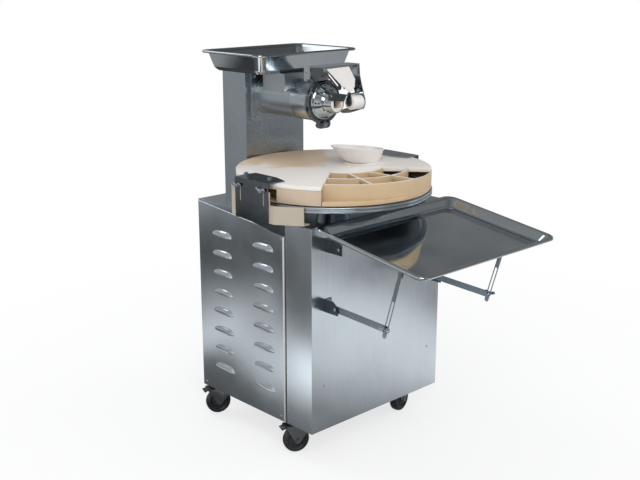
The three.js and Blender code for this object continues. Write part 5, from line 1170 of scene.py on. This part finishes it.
def add_floor_flag():
    """A sheet over the floor that only reflections see. With the distance from the cabinet's foot
    it runs from dark to a light band and back, differently in front and at the left, and it
    swims with a slow noise."""
    material, tree = new_material("floor_flag")
    place = tree.add("ShaderNodeTexCoord").outputs["Object"]
    axes = tree.axes(place)
    x, y = axes["X"], axes["Y"]
    beyond = []
    for coordinate, middle, half in zip((x, y), CABINET_MIDDLE, CABINET_HALF):
        offset = tree.maths("ABSOLUTE", tree.maths("SUBTRACT", coordinate, middle))
        beyond.append(tree.maths("SUBTRACT", offset, half))
    away = tree.maths("MAXIMUM", *beyond)
    swim = tree.span(tree.noise(place, 0.9, 2.0, 0.5), -0.22, 0.22, 0.3, 0.7)
    swum = tree.maths("ADD", away, swim)
    on_front = tree.maths("ADD", x, tree.maths("MULTIPLY", y, 0.958))
    on_left = tree.maths("ADD", y, tree.maths("MULTIPLY", x, 1.044))
    tipped = tree.maths("ADD", swum, tree.maths("MULTIPLY", on_front, 0.8))
    ahead = tree.ramp(tree.span(tipped, 0.0, 1.0, 0.0, 3.0), [
        (0.06, 0.26), (0.10, 0.48), (0.16, 0.90), (0.24, 1.03), (0.32, 0.90), (0.39, 0.36), (0.46, 0.32),
        (0.56, 0.50), (0.90, 0.44)])
    beside = tree.ramp(tree.span(swum, 0.0, 1.0, 0.0, 3.0), [
        (0.06, 0.12), (0.11, 0.17), (0.16, 0.72), (0.23, 1.0), (0.285, 0.38), (0.33, 0.09), (0.60, 0.05),
        (0.75, 0.42)])
    flashed = tree.blend(1.0, beside, tree.span(on_left, 1.8, 1.0, -0.33, -0.18), "MULTIPLY")
    side = tree.span(tree.maths("SUBTRACT", x, y), 0.0, 1.0, -0.4, 0.4)
    lit_by(tree, tree.blend(side, flashed, ahead))
    reach, lift = ROOM_RADIUS, 0.002
    mesh = bpy.data.meshes.new("floor_flag")
    mesh.from_pydata(
        [(-reach, -reach, lift), (reach, -reach, lift), (reach, reach, lift), (-reach, reach, lift)], [],
        [(0, 1, 2, 3)])
    only_reflected("floor_flag", mesh, material)


def lit_by(tree, colour):
    glow = tree.add("ShaderNodeEmission", {"Color": colour, "Strength": 1.0})
    tree.add("ShaderNodeOutputMaterial", {"Surface": glow.outputs["Emission"]})


def add_room():
    """The dark studio that only reflections see: a ceiling, and a round wall whose four soft
    gaps show the white beyond it."""
    material, tree = new_material("room")
    place = tree.add("ShaderNodeTexCoord").outputs["Object"]
    axes = tree.axes(place)
    x, y, z = axes["X"], axes["Y"], axes["Z"]
    bearing = tree.maths("ARCTAN2", y, x)
    gaps = tree.maths("COSINE", tree.maths("MULTIPLY", bearing, 4.0))
    low = tree.span(z, 1.0, 0.0, 1.2, 3.0)
    open_here = tree.maths("MULTIPLY", tree.span(gaps, 0.0, 1.0, 0.35, 0.85), low)
    leftward = tree.span(tree.maths("SUBTRACT", y, x), 0.20, 0.46, -2.0, 9.0)
    patchy = tree.span(tree.noise(place, (0.5, 0.5, 0.9), 3.0), 0.7, 1.4, 0.35, 0.65)
    uneven = tree.maths("MULTIPLY", leftward, patchy)
    lit_by(tree, tree.blend(open_here, uneven, (1.0, 1.0, 1.0)))
    rows = np.array([[ROOM_RADIUS, 0.0], [ROOM_RADIUS, ROOM_HEIGHT], [0.0, ROOM_HEIGHT]]) / MM
    only_reflected("room", mesh_from("room", turned(rows, segments=64), 60), material)


def only_reflected(name, mesh, material):
    """A stage object that reflections see and the camera, the light and shadows do not."""
    flag = placed(name, mesh, material)
    flag.visible_camera = False
    flag.visible_diffuse = False
    flag.visible_shadow = False
    flag.visible_transmission = False


def add_lamp(name, place, target, size, power, mirrored_in=True):
    data = bpy.data.lights.new(name, "AREA")
    data.shape = "SQUARE"
    data.size = size
    data.energy = power
    lamp = bpy.data.objects.new(name, data)
    lamp.location = place
    lamp.rotation_euler = (Vector(target) - Vector(place)).to_track_quat("-Z", "Y").to_euler()
    lamp.visible_glossy = mirrored_in
    bpy.context.scene.collection.objects.link(lamp)


# Operators

class MakesDivider:
    """What the operators share: the current sizes and colours."""
    bl_options = {"REGISTER", "UNDO"}

    @property
    def sizes(self):
        return bpy.context.scene.divider_sizes

    @property
    def colours(self):
        return bpy.context.scene.divider_colours


class DIVIDER_OT_finishes(MakesDivider, Operator):
    """Make every material and give the CAD nodes theirs"""
    bl_idname = "divider.finishes"
    bl_label = "Finishes"

    def execute(self, context):
        make_finishes(self.colours)
        dress_nodes()
        return {"FINISHED"}


class DIVIDER_OT_cabinet(MakesDivider, Operator):
    """Make the louvred panel and round the cabinet's sheet edges"""
    bl_idname = "divider.cabinet"
    bl_label = "Cabinet"

    def execute(self, context):
        cabinet()
        return {"FINISHED"}


class DIVIDER_OT_casters(MakesDivider, Operator):
    """Make the caster wheels"""
    bl_idname = "divider.casters"
    bl_label = "Casters"

    def execute(self, context):
        casters()
        return {"FINISHED"}


class DIVIDER_OT_column(MakesDivider, Operator):
    """Round the edges of the column and its drive"""
    bl_idname = "divider.column"
    bl_label = "Column"

    def execute(self, context):
        column()
        return {"FINISHED"}


class DIVIDER_OT_feed_head(MakesDivider, Operator):
    """Make the nozzle, clamp collar, bush and roller"""
    bl_idname = "divider.feed_head"
    bl_label = "Feed head"

    def execute(self, context):
        feed_head()
        return {"FINISHED"}


class DIVIDER_OT_hopper_pan(MakesDivider, Operator):
    """Make the pressed feed pan"""
    bl_idname = "divider.hopper_pan"
    bl_label = "Feed pan"

    def execute(self, context):
        hopper_pan()
        return {"FINISHED"}


class DIVIDER_OT_rounder(MakesDivider, Operator):
    """Make the turntable, the spiral track and the scoop"""
    bl_idname = "divider.rounder"
    bl_label = "Rounder"

    def execute(self, context):
        rounder()
        return {"FINISHED"}


class DIVIDER_OT_drop_tray(MakesDivider, Operator):
    """Make the folding tray and its lugs"""
    bl_idname = "divider.drop_tray"
    bl_label = "Drop tray"

    def execute(self, context):
        drop_tray()
        return {"FINISHED"}


class DIVIDER_OT_supports(MakesDivider, Operator):
    """Round the tray's bars and make the wing nuts"""
    bl_idname = "divider.supports"
    bl_label = "Supports"

    def execute(self, context):
        supports()
        return {"FINISHED"}


class DIVIDER_OT_fixings(MakesDivider, Operator):
    """Make the screws, bolts and rivets"""
    bl_idname = "divider.fixings"
    bl_label = "Fixings"

    def execute(self, context):
        fixings()
        return {"FINISHED"}


class DIVIDER_OT_stage(MakesDivider, Operator):
    """Make the floor, the light and the camera"""
    bl_idname = "divider.stage"
    bl_label = "Stage"

    def execute(self, context):
        add_stage(self.colours, self.sizes)
        return {"FINISHED"}


OPERATORS = (
    DIVIDER_OT_finishes, DIVIDER_OT_cabinet, DIVIDER_OT_casters, DIVIDER_OT_column, DIVIDER_OT_feed_head,
    DIVIDER_OT_hopper_pan, DIVIDER_OT_rounder, DIVIDER_OT_drop_tray, DIVIDER_OT_supports, DIVIDER_OT_fixings,
    DIVIDER_OT_stage,
)


class DIVIDER_PT_panel(Panel):
    """The divider's pieces, sizes and colours"""
    bl_idname = "DIVIDER_PT_panel"
    bl_label = "Dough divider"
    bl_space_type = "VIEW_3D"
    bl_region_type = "UI"
    bl_category = "Divider"

    def draw(self, context):
        for group in (context.scene.divider_sizes, context.scene.divider_colours):
            for key in group.bl_rna.properties.keys():
                if key not in ("rna_type", "name"):
                    self.layout.prop(group, key)
        for operator in OPERATORS:
            self.layout.operator(operator.bl_idname)


CLASSES = (DividerSizes, DividerColours, *OPERATORS, DIVIDER_PT_panel)


def register():
    for item in CLASSES:
        bpy.utils.register_class(item)
    bpy.types.Scene.divider_sizes = PointerProperty(type=DividerSizes)
    bpy.types.Scene.divider_colours = PointerProperty(type=DividerColours)


def unregister():
    del bpy.types.Scene.divider_colours
    del bpy.types.Scene.divider_sizes
    for item in reversed(CLASSES):
        bpy.utils.unregister_class(item)


def main():
    register()
    for operator in OPERATORS:
        group, name = operator.bl_idname.split(".")
        getattr(getattr(bpy.ops, group), name)()


if __name__ == "__main__":
    main()
